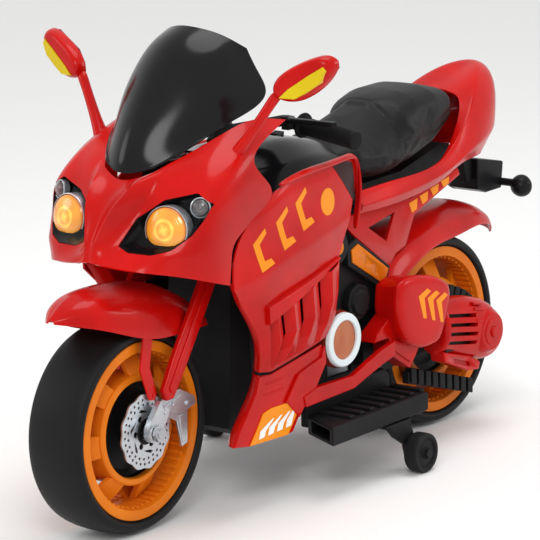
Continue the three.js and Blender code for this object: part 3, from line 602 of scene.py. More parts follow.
def make_shell(name, bm, inside, thick_mm, material, body, stands_for=()):
    """Moulded shell: smoothed skin thickened inwards."""
    face_out(bm, inside)
    shell = make_piece(name, bm, material, body, stands_for, merge=False)
    smoothed(shell, 3)
    wall = shell.modifiers.new("Wall", "SOLIDIFY")
    wall.thickness = thick_mm * MM
    wall.offset = -1
    wall.use_even_offset = True
    apply_modifiers(shell)
    shell.data.set_sharp_from_angle(angle=CRISP_ANGLE)
    return shell


# Stations from nose to back: distance along, half width, edge height and crown height, in mm.
front_stations = [(-577, 7, 348, 354), (-545, 36, 340, 372), (-500, 54, 326, 382),
                  (-430, 61, 302, 380), (-370, 61, 294, 368), (-310, 56, 290, 345),
                  (-262, 44, 286, 312)]


def arch(stations, ridge=0.0):
    """Rows of a fender skin: flat crown, round shoulders and short upright sides."""
    rows = []
    for y, half, edge, top in stations:
        rise = top - edge
        rows.append([(0, y, top + ridge), (half * 0.32, y, top - rise * 0.03),
                     (half * 0.62, y, top - rise * 0.16), (half * 0.88, y, edge + rise * 0.55),
                     (half * 0.98, y, edge + rise * 0.2), (half, y, edge)])
    return both_sides(rows)


bm = bmesh.new()
grid = skinned(bm, arch(front_stations, 2.5))
crease_line(bm, [row[5] for row in grid], 0.45)
crease_line(bm, [row[2] for row in grid], 0.35)
crease_line(bm, [row[8] for row in grid], 0.35)
fender = make_shell("front_fender_shell", bm, mm(0, -430, 250), 3.2, abs_red_gloss, "steering",
                    ("front_fender",))
soften(fender, 0.9, 2, 50)
for side, hand in SIDES:
    bm = bmesh.new()
    plate(bm, [(-432, 316), (-410, 316), (-422, 256), (-407, 214), (-412, 204), (-426, 206),
               (-445, 256)], side * 55.6, side * 59.2)
    rounded(bm, 1.4, 2)
    boss(bm, mm(0, -416, 212), 3.2, side * 58.4, side * 60.2, 6)
    make_piece(f"front_fender_strut_{hand}", bm, abs_red_gloss, "steering")


# ---------------------------------------------------------------- handlebar, grips, levers
# Black clamp on the stem with a swept tube each side, ribbed rubber sleeves with a collar,
# and flat levers on a pin through the perch.

dress("handlebar", polypropylene_black_sparked)
rubber_black_ribbed = moulded("rubber_black_ribbed", "#1a1a1b", "#101011", 0.72, 1.4, 0.5)
abs_black_satin = moulded("abs_black_satin", "#19191b", "#101012", 0.34, 2.5, 0.12)
GRIP_IN = Vector((98, -80, 569))
GRIP_OUT = Vector((207, -90, 556))
grip_axis = (GRIP_OUT - GRIP_IN).normalized()
grip_length = (GRIP_OUT - GRIP_IN).length
sleeve = [(9.6, 0.2), (19.4, 0.2), (20, 1.6), (19.4, 3.8), (15.6, 4.4)]
for i in range(22):
    start = 7 + i * 4.3
    sleeve += [(13.0, start), (13.9, start + 0.7), (13.9, start + 2.4), (13.0, start + 3.1)]
sleeve += [(14.2, grip_length - 5), (14.0, grip_length - 1.5), (12, grip_length - 0.2),
           (0, grip_length)]
for side, hand in SIDES:
    bm = bmesh.new()
    spun(bm, sleeve, GRIP_IN * MM, 36, axis=grip_axis, close=False)
    if side < 0:
        bmesh.ops.scale(bm, vec=(-1, 1, 1), verts=bm.verts[:])
    make_piece(f"hand_grip_{hand}", bm, rubber_black_ribbed, "steering",
               (f"grip_{hand}",))
    bm = bmesh.new()
    lever = [(82, -116), (96, -116), (106, -123), (150, -120), (182, -119), (188, -112),
             (180, -107), (150, -110), (108, -110), (98, -99), (84, -99)]
    plate(bm, [(side * x, y) for x, y in lever], 579.0, 587.2, "XY")
    rounded(bm, 2.4, 3)
    turn = Matrix.Translation(mm(side * 89, -107, 583.2))
    bmesh.ops.create_cone(bm, cap_ends=True, cap_tris=False, segments=20, radius1=4.6 * MM,
                          radius2=4.2 * MM, depth=9.4 * MM, matrix=turn)
    make_piece(f"brake_lever_blade_{hand}", bm, abs_black_satin, f"lever_{hand}",
               (f"brake_lever_{hand}",))


# ---------------------------------------------------------------- upper cowl
# The nose is one deep red shell. Two ridges run from the screen down to a point between the
# slanted lamp openings, and a lip runs back under the lamps to the side panels.

cowl_rows = both_sides([
    [(0, -486, 422), (14, -487, 421), (46, -480, 418), (84, -461, 411), (122, -424, 402),
     (143, -374, 386), (146, -334, 374)],
    [(0, -478, 450), (10, -481, 450), (36, -453, 442), (88, -447, 438), (128, -422, 434),
     (150, -382, 430), (150, -332, 422)],
    [(0, -459, 480), (18, -468, 480), (43, -427, 479), (90, -413, 478), (132, -398, 482),
     (154, -368, 480), (150, -304, 452)],
    [(0, -440, 503), (28, -452, 506), (54, -410, 509), (90, -396, 511), (132, -382, 517),
     (156, -352, 508), (150, -226, 496)],
    [(0, -416, 519), (38, -420, 532), (62, -388, 538), (92, -368, 548), (120, -338, 560),
     (146, -305, 556), (150, -275, 553)],
    [(0, -400, 531), (46, -382, 544), (62, -362, 556), (78, -337, 568), (102, -279, 592),
     (113, -224, 603), (121, -152, 592)],
])
MID = 6  # middle column of the thirteen
bm = bmesh.new()
grid = skinned(bm, cowl_rows)
for column in (MID - 1, MID + 1):
    crease_line(bm, [row[column] for row in grid[1:]], 0.9)
for column in (MID - 2, MID + 2):
    crease_line(bm, [row[column] for row in grid[2:]], 0.7)
crease_line(bm, grid[1], 0.6)
for column in (MID - 4, MID + 4):
    crease_line(bm, [row[column] for row in grid[3:]], 0.5)
cowl = make_shell("nose_cowl", bm, mm(0, -250, 460), 3.6, abs_red_gloss, "chassis",
                  ("upper_cowl",))
lamp_opening = [(32, 444), (45, 482), (80, 509), (128, 521), (152, 506), (146, 486), (134, 462),
                (114, 442), (88, 435), (50, 436)]
cowl_skin = BVHTree.FromObject(cowl, bpy.context.evaluated_depsgraph_get())
bm = bmesh.new()
for side in (1, -1):
    plate(bm, [(side * x, z) for x, z in lamp_opening], -500, -335, "XZ")
along = [e for e in bm.edges if abs((e.verts[0].co - e.verts[1].co).y) > 0.1]
bmesh.ops.bevel(bm, geom=along, offset=2.5 * MM, offset_type="OFFSET", segments=3, profile=0.5,
                affect="EDGES", material=-1, clamp_overlap=True)
carve(cowl, bm)
soften(cowl, 0.8, 2, 55)


# ---------------------------------------------------------------- headlamps
# Each opening holds a black tub. The main lamp is an amber lens over a fluted bowl in a
# bright trim ring; a small marker lens sits above it towards the side.

def surface_y(x, z):
    """Depth of the cowl's outer skin seen from straight ahead, in mm."""
    hit = cowl_skin.ray_cast(mm(x, -900, z), Vector((0, 1, 0)))[0]
    return hit.y / MM if hit else -400.0


def cap_ring(bm, verts):
    bmesh.ops.contextual_create(bm, geom=[bm.edges.get(pair) for pair in
                                          zip(verts, verts[1:] + verts[:1])])


def shrunk(outline, by):
    """Outline drawn in towards its own middle by some millimetres."""
    cx = sum(p[0] for p in outline) / len(outline)
    cz = sum(p[1] for p in outline) / len(outline)
    result = []
    for x, z in outline:
        d = ((x - cx) ** 2 + (z - cz) ** 2) ** 0.5
        result.append((cx + (x - cx) * (1 - by / d), cz + (z - cz) * (1 - by / d)))
    return result


def lens_material(name, middle_code, body_code, rim_code, centre, axis, radius_mm, flutes, glow):
    """Clear polycarbonate over a fluted bowl: rings and flutes show through, with a wet gloss."""
    material, tree, shader, coords = start_material(name)
    square_on = axis.to_track_quat("Z", "Y").inverted().to_euler()
    moved = add_node(tree, "ShaderNodeVectorMath", {"operation": "SUBTRACT"},
                     {0: coords, 1: centre})
    local = add_node(tree, "ShaderNodeVectorRotate", {"rotation_type": "EULER_XYZ"},
                     {"Vector": moved.outputs[0], "Rotation": square_on})
    split = add_node(tree, "ShaderNodeSeparateXYZ", inputs={"Vector": local.outputs["Vector"]})
    angle = add_node(tree, "ShaderNodeMath", {"operation": "ARCTAN2"},
                     {0: split.outputs["X"], 1: split.outputs["Y"]})
    flat = add_node(tree, "ShaderNodeCombineXYZ",
                    inputs={"X": split.outputs["X"], "Y": split.outputs["Y"]})
    reach = add_node(tree, "ShaderNodeVectorMath", {"operation": "LENGTH"}, {0: flat.outputs[0]})
    share = add_node(tree, "ShaderNodeMath", {"operation": "DIVIDE"},
                     {0: reach.outputs["Value"], 1: radius_mm * MM})
    ramp = add_node(tree, "ShaderNodeValToRGB", inputs={"Fac": share.outputs[0]})
    ramp.color_ramp.elements[0].position = 0.06
    ramp.color_ramp.elements[0].color = linear(middle_code)
    ramp.color_ramp.elements[1].position = 0.97
    ramp.color_ramp.elements[1].color = linear(rim_code)
    for place, code in ((0.3, body_code), (0.42, middle_code), (0.52, body_code),
                        (0.85, body_code)):
        ramp.color_ramp.elements.new(place).color = linear(code)
    petals = add_node(tree, "ShaderNodeMath", {"operation": "MULTIPLY"},
                      {0: angle.outputs[0], 1: flutes})
    wave = add_node(tree, "ShaderNodeMath", {"operation": "SINE"}, {0: petals.outputs[0]})
    strength = add_node(tree, "ShaderNodeMapRange",
                        inputs={"Value": wave.outputs[0], "From Min": -1.0, "From Max": 1.0,
                                "To Min": 0.0, "To Max": 0.22})
    shade = add_node(tree, "ShaderNodeMix", {"data_type": "RGBA", "blend_type": "MULTIPLY"},
                     {0: strength.outputs["Result"], 6: ramp.outputs["Color"],
                      7: linear(rim_code)})
    tree.links.new(shade.outputs[2], shader.inputs["Base Color"])
    tree.links.new(shade.outputs[2], shader.inputs["Emission Color"])
    shader.inputs["Emission Strength"].default_value = glow
    smear = add_node(tree, "ShaderNodeTexNoise", inputs={"Vector": coords, "Scale": 70.0})
    glossed(tree, shader, smear.outputs["Fac"], 0.12, 0.24)
    rings = add_node(tree, "ShaderNodeMath", {"operation": "MULTIPLY"},
                     {0: share.outputs[0], 1: 2 * pi * 9})
    ripple = add_node(tree, "ShaderNodeMath", {"operation": "SINE"}, {0: rings.outputs[0]})
    bumped(tree, shader, ripple.outputs[0], 0.25, 0.0006)
    shader.inputs["Coat Weight"].default_value = 1.0
    shader.inputs["Coat Roughness"].default_value = 0.03
    return material


abs_black_gloss = moulded("abs_black_gloss", "#0f0f11", "#09090a", 0.13, 5.0, 0.04)
for side, hand in SIDES:
    lamp_axis = Vector((side * 0.16, -0.98, 0.12)).normalized()
    lamp_centre = mm(side * 93, -413, 468)
    bm = bmesh.new()
    rings = []
    for inset, sink in ((0.9, 1.0), (1.5, 1.5), (6.0, 9.0), (13.0, 15.0)):
        rings.append([(side * x, surface_y(side * x, z) + sink, z)
                      for x, z in shrunk(lamp_opening, inset)])
    grid = skinned(bm, rings, closed=True)
    cap_ring(bm, grid[-1])
    bmesh.ops.triangulate(bm, faces=[f for f in bm.faces if len(f.verts) > 4])
    face_out(bm, lamp_centre + mm(0, 90, 0))
    tub = make_piece(f"headlamp_tub_{hand}", bm, abs_black_gloss, "chassis",
                     (f"headlamp_bezel_{hand}",), merge=False)
    wall = tub.modifiers.new("Wall", "SOLIDIFY")
    wall.thickness = 1.6 * MM
    wall.offset = -1
    amber = lens_material(f"polycarbonate_amber_{hand}", "#ffd955", "#f2a024", "#c0600f",
                          lamp_centre, lamp_axis, 35, 4, 0.12)
    bm = bmesh.new()
    spun(bm, [(34.0, -16), (34.0, 1), (33.2, 3.5), (30, 6.2), (24, 8.8), (16, 10.6), (8, 11.7),
              (0, 12)], lamp_centre, 72, axis=lamp_axis, close=False)
    make_piece(f"headlamp_lens_amber_{hand}", bm, amber, "chassis",
               (f"headlamp_lens_{hand}",))
    bm = bmesh.new()
    spun(bm, [(34.2, -16), (34.2, 2.2), (34.7, 3.4), (35.6, 3.2), (36.1, 1.8), (36.3, -16)],
         lamp_centre, 72, axis=lamp_axis)
    make_piece(f"headlamp_trim_{hand}", bm, abs_silver_lacquered, "chassis")
    marker_x, marker_z = side * 134, 500
    marker_centre = mm(marker_x, surface_y(marker_x, marker_z) + 8, marker_z)
    marker_axis = Vector((side * 0.4, -0.9, 0.15)).normalized()
    tints = ("#6d6668", "#4a4446", "#1e1b1c") if side > 0 else ("#7c2f33", "#4d1a1e", "#1d0d0f")
    marker = lens_material(f"polycarbonate_smoked_{hand}", *tints, marker_centre, marker_axis,
                           13, 12, 0.0)
    bm = bmesh.new()
    spun(bm, [(13, -9), (13, 0), (12, 2.4), (9, 4.4), (5, 5.5), (0, 5.9)], marker_centre, 40,
         axis=marker_axis, close=False)
    make_piece(f"marker_lens_{hand}", bm, marker, "chassis")
    bm = bmesh.new()
    spun(bm, [(13.2, -8), (13.2, 1.2), (14.2, 2.2), (15.6, 1.2), (15.8, -8)], marker_centre, 40,
         axis=marker_axis)
    make_piece(f"marker_trim_{hand}", bm, abs_silver_lacquered, "chassis")


# ---------------------------------------------------------------- windscreen
# Thermoformed black bubble, mirror-smooth, dark enough to hide the dash behind it.
# It drops over the upper edge of the nose and is held by screws under the mirrors.

def screen_material():
    """Tinted acrylic: deep black with a hard gloss and a faint haze from wiping."""
    material, tree, shader, coords = start_material("acrylic_black_bubble")
    haze = add_node(tree, "ShaderNodeTexNoise",
                    inputs={"Vector": coords, "Scale": 11.0, "Detail": 4.0})
    tinted(tree, shader, haze.outputs["Fac"], "#0c0c0e", "#161618")
    glossed(tree, shader, haze.outputs["Fac"], 0.1, 0.22)
    shader.inputs["Specular IOR Level"].default_value = 0.22
    swirl = add_node(tree, "ShaderNodeTexNoise", inputs={"Vector": coords, "Scale": 420.0})
    bumped(tree, shader, swirl.outputs["Fac"], 0.02, 0.0003)
    return material


acrylic_black_bubble = screen_material()
screen_rows = both_sides([
    [(0, -397, 541), (16, -395, 542), (31, -388, 546), (45, -380, 552)],
    [(0, -393, 563), (28, -384, 562), (56, -362, 564), (78, -333, 577)],
    [(0, -374, 602), (38, -359, 600), (73, -322, 598), (100, -273, 602)],
    [(0, -343, 647), (42, -327, 643), (81, -290, 637), (114, -226, 619)],
    [(0, -307, 691), (40, -295, 686), (78, -262, 673), (117, -194, 641)],
    [(0, -269, 723), (36, -261, 717), (68, -240, 703), (101, -194, 673)],
    [(0, -236, 739), (28, -229, 735), (55, -215, 725), (84, -196, 705)],
])
bm = bmesh.new()
skinned(bm, screen_rows)
screen = make_shell("bubble_screen", bm, mm(0, -200, 620), 2.4, acrylic_black_bubble, "chassis",
                    ("windscreen",))
soften(screen, 0.7, 2, 55)


# ---------------------------------------------------------------- mirrors
# Each mirror is a smooth red housing on a leaning stalk with a foot screwed to the nose, a
# yellow accent insert in the lower front face, and a silvered plastic glass in the back.

mirror_outline = [(184, 650), (182, 668), (196, 690), (252, 717), (272, 714), (281, 698),
                  (262, 668), (226, 644), (204, 642)]
abs_yellow_gloss = moulded("abs_yellow_gloss", "#dcc41e", "#c9ad14", 0.3, 4.0, 0.06)
silvered_plastic = moulded("silvered_plastic", "#dfe3e6", "#d2d6da", 0.04, 9.0, 0.01)
silvered_plastic.node_tree.nodes["Principled BSDF"].inputs["Metallic"].default_value = 1.0


def mirror_ring(side, by, y):
    return [(side * x, y + (x - 184) * 0.3, z) for x, z in shrunk(mirror_outline, by)]


def lofted(bm, rings):
    """Closed body stretched over a row of rings and capped at both ends."""
    grid = skinned(bm, rings, closed=True)
    cap_ring(bm, grid[0])
    cap_ring(bm, grid[-1])
    return grid


for side, hand in SIDES:
    bm = bmesh.new()
    lofted(bm, [mirror_ring(side, inset, y) for inset, y in
                ((13, -277), (6, -274), (1.2, -267), (0, -256), (0.4, -250), (3.4, -250),
                 (4.0, -253))])
    housing = make_piece(f"mirror_housing_{hand}", bm, abs_red_gloss, "chassis",
                         (f"mirror_{hand}",))
    housing.modifiers.clear()
    smooth = housing.modifiers.new("Smooth skin", "SUBSURF")
    smooth.levels = smooth.render_levels = 3
    bm = bmesh.new()
    stalk = []
    for x, y, z, wide, deep in ((122, -290, 552, 13, 20), (131, -286, 566, 11, 16),
                                (142, -281, 583, 9, 11), (160, -272, 610, 8, 9),
                                (178, -264, 640, 8, 8), (190, -259, 657, 10, 9)):
        ring = []
        for i in range(10):
            a = 2 * pi * i / 10
            ring.append((side * (x + wide * cos(a) * 0.82), y + deep * sin(a),
                         z - wide * cos(a) * 0.55))
        stalk.append(ring)
    lofted(bm, stalk)
    arm = make_piece(f"mirror_stalk_{hand}", bm, abs_red_gloss, "chassis")
    arm.modifiers.clear()
    smooth = arm.modifiers.new("Smooth skin", "SUBSURF")
    smooth.levels = smooth.render_levels = 2
    insert_outline = [(199, 651), (212, 664), (246, 688), (266, 700), (270, 694), (262, 676),
                      (240, 660), (222, 650)]
    bm = bmesh.new()
    front = [(side * x, -276.6 + (x - 184) * 0.3, z) for x, z in insert_outline]
    top = [(side * x, -278.2 + (x - 184) * 0.3, z) for x, z in shrunk(insert_outline, 1.2)]
    base = [(side * x, -270 + (x - 184) * 0.3, z) for x, z in insert_outline]
    grid = skinned(bm, [base, front, top], closed=True)
    cap_ring(bm, grid[-1])
    make_piece(f"mirror_accent_{hand}", bm, abs_yellow_gloss, "chassis")
    bm = bmesh.new()
    lofted(bm, [mirror_ring(side, 4.4, -251.6), mirror_ring(side, 5.2, -250.8)])
    make_piece(f"mirror_reflector_{hand}", bm, silvered_plastic, "chassis",
               (f"mirror_glass_{hand}",))


# ---------------------------------------------------------------- tank cover and switch
# Glossy black cover over the spine, arched, with a shallow centre channel. The direction
# rocker sits in it, behind the opening for the steering stem.

bm = bmesh.new()
tank_rows = both_sides([
    [(0, -232, 546), (26, -232, 545), (50, -232, 541), (88, -228, 522), (108, -222, 492)],
    [(0, -150, 540), (28, -150, 539), (54, -150, 535), (95, -150, 514), (116, -150, 484)],
    [(0, -60, 541), (28, -60, 540), (52, -60, 536), (93, -60, 514), (114, -60, 482)],
    [(0, 36, 522), (22, 37, 521), (42, 38, 517), (75, 40, 500), (96, 40, 474)],
])
grid = skinned(bm, tank_rows)
for column in (1, 7):
    crease_line(bm, [row[column] for row in grid], 0.5)
tank = make_shell("tank_cover_shell", bm, mm(0, -80, 440), 3.4, abs_black_gloss, "chassis",
                  ("tank_cover",))
bm = bmesh.new()
hole = Matrix.Translation(Vector((0, *[c * MM for c in steer(470)])))
hole = hole @ rake.to_track_quat("Z", "Y").to_matrix().to_4x4()
bmesh.ops.create_cone(bm, cap_ends=True, cap_tris=False, segments=40, radius1=27 * MM,
                      radius2=27 * MM, depth=0.1, matrix=hole)
plate(bm, [(-9.6, -33.8), (9.6, -33.8), (9.6, -6.2), (-9.6, -6.2)], 505, 560, "XY")
carve(tank, bm)
soften(tank, 0.8, 2, 55)
dress("drive_switch", abs_black_satin)


# ---------------------------------------------------------------- side fairings
# Long red panel each side: a broad upper face with printed orange figures, a rising crease, a
# raised band under it, and four folded vanes in a window, with a black plate behind them as
# painted shade in the slits between them.

side_rows = [
    [(150, -222, 494), (147, -190, 504), (143, -150, 510), (137, -75, 514), (130, -20, 514),
     (124, 11, 509)],
    [(150, -260, 474), (152, -212, 484), (149, -165, 492), (143, -80, 496), (135, -15, 497),
     (128, 11, 496)],
    [(150, -298, 452), (152, -240, 455), (150, -180, 460), (145, -90, 468), (137, -20, 471),
     (131, 9, 470)],
    [(147, -322, 412), (151, -256, 416), (151, -190, 423), (148, -100, 435), (139, -30, 443),
     (134, -2, 446)],
    [(146, -324, 364), (153, -262, 374), (154, -200, 388), (151, -120, 402), (144, -50, 413),
     (140, -20, 417)],
    [(139, -300, 338), (142, -240, 323), (141, -190, 332), (140, -130, 343), (136, -80, 353),
     (133, -41, 361)],
    [(140, -281, 308), (143, -238, 294), (139, -190, 303), (139, -130, 320), (135, -80, 335),
     (132, -41, 345)],
    [(139, -258, 270), (142, -233, 258), (137, -190, 262), (137, -140, 272), (134, -90, 286),
     (132, -50, 300)],
    [(136, -256, 222), (138, -230, 218), (137, -190, 223), (136, -152, 228), (135, -118, 233),
     (134, -89, 238)],
]
vane_lines = [
    [(-236, 298), (-234, 262), (-233, 240), (-231, 222)],
    [(-204, 308), (-197, 268), (-207, 246), (-219, 225)],
    [(-153, 324), (-150, 279), (-159, 254), (-169, 232)],
    [(-106, 338), (-101, 288), (-111, 262), (-120, 238)],
    [(-43, 356), (-48, 312), (-62, 270), (-86, 240)],
]
vinyl_orange = moulded("vinyl_orange", "#f0921f", "#e88414", 0.3, 6.0, 0.04)
vinyl_white = moulded("vinyl_white", "#f2f2f0", "#e6e7e8", 0.32, 6.0, 0.04)
# Dark red painted shade, laid on as a film where the panel's rear top recess lies in shadow.
painted_recess_shade = moulded("painted_shade_dark_red", "#3a1512", "#22100f", 0.3, 5.0, 0.05)


def sticker(name, outline, target, side, lift_mm, material, body, cells=7.0):
    """Film laid on a side panel, for printed figures and for one patch of painted shade: cut from
    a flat sheet and pressed onto the surface.
    """
    bm = bmesh.new()
    verts = [bm.verts.new((0, y * MM, z * MM)) for y, z in outline]
    bm.faces.new(verts)
    low = [min(p[i] for p in outline) for i in (0, 1)]
    high = [max(p[i] for p in outline) for i in (0, 1)]
    for i, direction in ((0, (0, 1, 0)), (1, (0, 0, 1))):
        at = low[i] + cells
        while at < high[i]:
            bmesh.ops.bisect_plane(bm, geom=bm.verts[:] + bm.edges[:] + bm.faces[:],
                                   plane_co=Vector(direction) * at * MM, plane_no=direction,
                                   dist=1e-6)
            at += cells
    bmesh.ops.triangulate(bm, faces=bm.faces[:])
    skin = BVHTree.FromObject(target, bpy.context.evaluated_depsgraph_get())
    for v in bm.verts:
        hit = skin.ray_cast(Vector((side * 0.4, v.co.y, v.co.z)), Vector((-side, 0, 0)))[0]
        if hit is None:
            hit = skin.find_nearest(Vector((side * 0.16, v.co.y, v.co.z)))[0]
        v.co.x = hit.x + side * lift_mm * MM
    centre = sum((v.co for v in bm.verts), Vector()) / len(bm.verts)
    face_out(bm, centre - Vector((side * 0.1, 0, 0)))
    film = make_piece(name, bm, material, body, merge=False)
    film.modifiers.clear()
    return film


def arch_flange(name, lip, side, first_mm):
    """Strip that turns inwards from a panel's edge along the front wheel arch."""
    bm = bmesh.new()
    skinned(bm, [[(side * x, y, z) for x, y, z in lip],
                 [(side * (x - first_mm), y + 5, z) for x, y, z in lip],
                 [(side * (x - 26), y + 20, z) for x, y, z in lip]])
    face_out(bm, mm(side * 130, -200, lip[-1][2] + 65))
    flange = make_piece(name, bm, abs_red_gloss, "chassis", merge=False)
    smoothed(flange, 2)
    wall = flange.modifiers.new("Wall", "SOLIDIFY")
    wall.thickness = 2.6 * MM


hook_outline = [(-252.5, 446.4), (-281, 426.1), (-262.8, 379.9), (-232.1, 388.5), (-239.6, 397.8),
                (-255, 396), (-265.3, 423.3), (-249, 437.8)]
for side, hand in SIDES:
    bm = bmesh.new()
    grid = skinned(bm, [[(side * x, y, z) for x, y, z in row] for row in side_rows])
    crease_line(bm, grid[4], 1.0)
    crease_line(bm, grid[5], 0.7)
    crease_line(bm, [row[1] for row in grid[5:]], 0.6)
    panel = make_shell(f"side_panel_{hand}", bm, mm(0, -150, 400), 3.4, abs_red_gloss, "chassis",
                       (f"side_fairing_{hand}",))
    bm = bmesh.new()
    plate(bm, [(-235, 300), (-231, 226), (-88, 244), (-50, 312), (-45, 352)], side * 110,
          side * 170)
    carve(panel, bm)
    soften(panel, 0.8, 2, 55)
    for i in range(4):
        bm = bmesh.new()
        rows = []
        for k in range(4):
            (ya, za), (yb, zb) = vane_lines[i][k], vane_lines[i + 1][k]
            narrow = max(0, ya + 150) * 0.05
            flush = (1.0, 1.0, 0.72, 0.25)[k]
            first, last = ((0.15, 0.9) if k < 2 else (0.0, 1.0))
            row = []
            for t, rise in ((first, 0), (0.42, 13 * flush), (0.75, 9 * flush), (last, 5 * flush),
                            (last, -7)):
                row.append((side * (137.5 - narrow - t * narrow * 0.3 + rise),
                            ya + (yb - ya) * t, za + (zb - za) * t))
            rows.append(row)
        grid = skinned(bm, rows)
        face_out(bm, mm(side * 100, -150, 290))
        vane = make_piece(f"louvre_{hand}_{i + 1}", bm, abs_red_gloss, "chassis",
                          merge=False)
        vane.modifiers.clear()
        wall = vane.modifiers.new("Wall", "SOLIDIFY")
        wall.thickness = 2.4 * MM
        wall.offset = -1
        soften(vane, 1.0, 2, 18)
    bm = bmesh.new()
    band = []
    for y, base, out in ((-241, 139, 148.5), (-190, 139, 149.5), (-130, 138, 147.5),
                         (-80, 134, 142.5), (-43, 131, 137.5)):
        top = 322 + 0.195 * (y + 241)
        low = 294 + 0.315 * (y + 238)
        band.append([(side * base, y, top), (side * (out - 1.5), y, top - 0.8),
                     (side * out, y, top - 2.6), (side * (out + 0.6), y, low + 1.8),
                     (side * (out - 1.6), y, low), (side * base, y, low)])
    lofted(bm, band)
    rounded(bm, 0.7, 2, 35)
    make_piece(f"side_panel_band_{hand}", bm, abs_red_gloss, "chassis")
    # Black plate closing the vane window: painted shade for the slits between the vanes.
    bm = bmesh.new()
    plate(bm, [(-250, 226), (-100, 242), (-58, 300), (-48, 350), (-245, 312)], side * 122,
          side * 124)
    make_piece(f"louvre_backing_{hand}", bm, polystyrene_black_and_painted_shade, "chassis")
    lip = [(144, -322, 372), (139, -301, 338), (139, -281, 308), (138, -259, 270),
           (136, -255, 240), (135, -256, 222)]
    arch_flange(f"side_panel_arch_{hand}", lip, side, 13)
    for i in range(3):
        shape = [(y + (0, 56.4, 108)[i], z + (0, 23.2, 43)[i]) for y, z in hook_outline]
        sticker(f"figure_{hand}_{i + 1}", shape, panel, side, 0.35, vinyl_orange, "chassis")
    disc = [(-84 + 20 * cos(2 * pi * k / 36), 455 + 21 * sin(2 * pi * k / 36)) for k in range(36)]
    sticker(f"figure_{hand}_dot", disc, panel, side, 0.35, vinyl_orange, "chassis")
    bm = bmesh.new()
    rail = []
    for x, y, z, wide, tall in ((148, -196, 505, 5, 3), (146, -140, 511, 6, 4.5),
                                (140, -70, 511, 6, 4), (133, -15, 511, 6, 4),
                                (128, 10, 505, 7, 5), (130, 17, 480, 6, 6), (135, 12, 440, 5, 5),
                                (138, 0, 405, 3, 3)):
        rail.append([(side * (x + wide), y, z),
                     (side * (x + wide * 0.6), y - tall * 0.4, z + tall * 0.7),
                     (side * (x - 3), y, z + tall), (side * (x - 7), y, z),
                     (side * (x - 3), y - tall * 0.5, z - tall),
                     (side * (x + wide * 0.6), y, z - tall)])
    lofted(bm, rail)
    rim_bar = make_piece(f"side_panel_rail_{hand}", bm, abs_red_gloss, "chassis")
    smoothed(rim_bar, 2)
    # Dark red film near the panel's rear top: painted shade for the shadowed recess there.
    sticker(f"side_recess_{hand}", [(-62, 505), (-20, 506), (2, 500), (4, 470), (-2, 440)], panel,
            side, 0.5, painted_recess_shade, "chassis")


# ---------------------------------------------------------------- lower fairings
# Red panel behind the front wheel: a raised column along the wheel arch, a printed orange
# field with white strokes, two fine ribs, and a bar running back over the footboard.

lower_outline = [(-257, 216), (-225, 212), (-152, 222), (-93, 231), (-88, 200), (-115, 168),
                 (-20, 165), (30, 181), (60, 190), (93, 196), (93, 174), (60, 168), (30, 160),
                 (-20, 146), (-145, 144), (-172, 110), (-188, 108), (-284, 112), (-324, 119),
                 (-309, 141), (-287, 166), (-265, 193)]
raised_parts = [
    ([(-257, 215), (-245, 214), (-253, 193), (-275, 166), (-296, 141), (-309, 118), (-324, 119),
      (-309, 141), (-287, 166), (-265, 193)], 137.5),
    ([(-192, 162), (-160, 198), (-98, 212), (-90, 229), (-88, 201), (-115, 168), (-116, 152),
      (-145, 146), (-160, 130)], 138.5),
    ([(-150, 160), (-116, 168), (-20, 166), (30, 182), (60, 191), (93, 197), (93, 174),
      (60, 167), (30, 159), (-20, 145), (-145, 143)], 141.0),
]
orange_field = [(-227, 160), (-144, 158), (-188, 109), (-283, 113), (-264, 135), (-248, 156)]
for side, hand in SIDES:
    bm = bmesh.new()
    plate(bm, lower_outline, side * 129.5, side * 134.0)
    rounded(bm, 1.4, 2)
    make_piece(f"lower_panel_{hand}", bm, abs_red_gloss, "chassis",
               (f"lower_fairing_{hand}",))
    bm = bmesh.new()
    for outline, out in raised_parts:
        plate(bm, outline, side * 133.0, side * out)
    for i in range(2):
        z = 201 - 16 * i
        plate(bm, [(-236 - 8 * i, z), (-194, z), (-196, z - 3), (-238 - 8 * i, z - 3)],
              side * 133.0, side * 135.6)
    rounded(bm, 1.5, 2)
    make_piece(f"lower_panel_relief_{hand}", bm, abs_red_gloss, "chassis")
    lip = [(134, -256, 217), (133, -264, 193), (133, -286, 166), (133, -308, 141),
           (133, -322, 119)]
    arch_flange(f"lower_panel_arch_{hand}", lip, side, 12)
    bm = bmesh.new()
    plate(bm, orange_field, side * 133.6, side * 136.4)
    rounded(bm, 0.8, 2)
    field = make_piece(f"lower_field_{hand}", bm, vinyl_orange, "chassis")
    for i in range(4):
        y = -262 + 22.6 * i
        z = 118.5 + 1.0 * i
        reach = (40, 38, 36, 26)[i]
        stroke = [(y, z), (y + 14, z + 1), (y + 18, z + 10), (y + reach, z + 25),
                  (y + reach - 5, z + 25), (y + 4, z + 12)]
        sticker(f"lower_stroke_{hand}_{i + 1}", stroke, field, side, 0.3, vinyl_white, "chassis")


# ---------------------------------------------------------------- side plates under the seat
# Red strut with a triangular window between seat, gear cover and rear fender; four slanted
# orange bars are printed on the part that sweeps up to the tail.

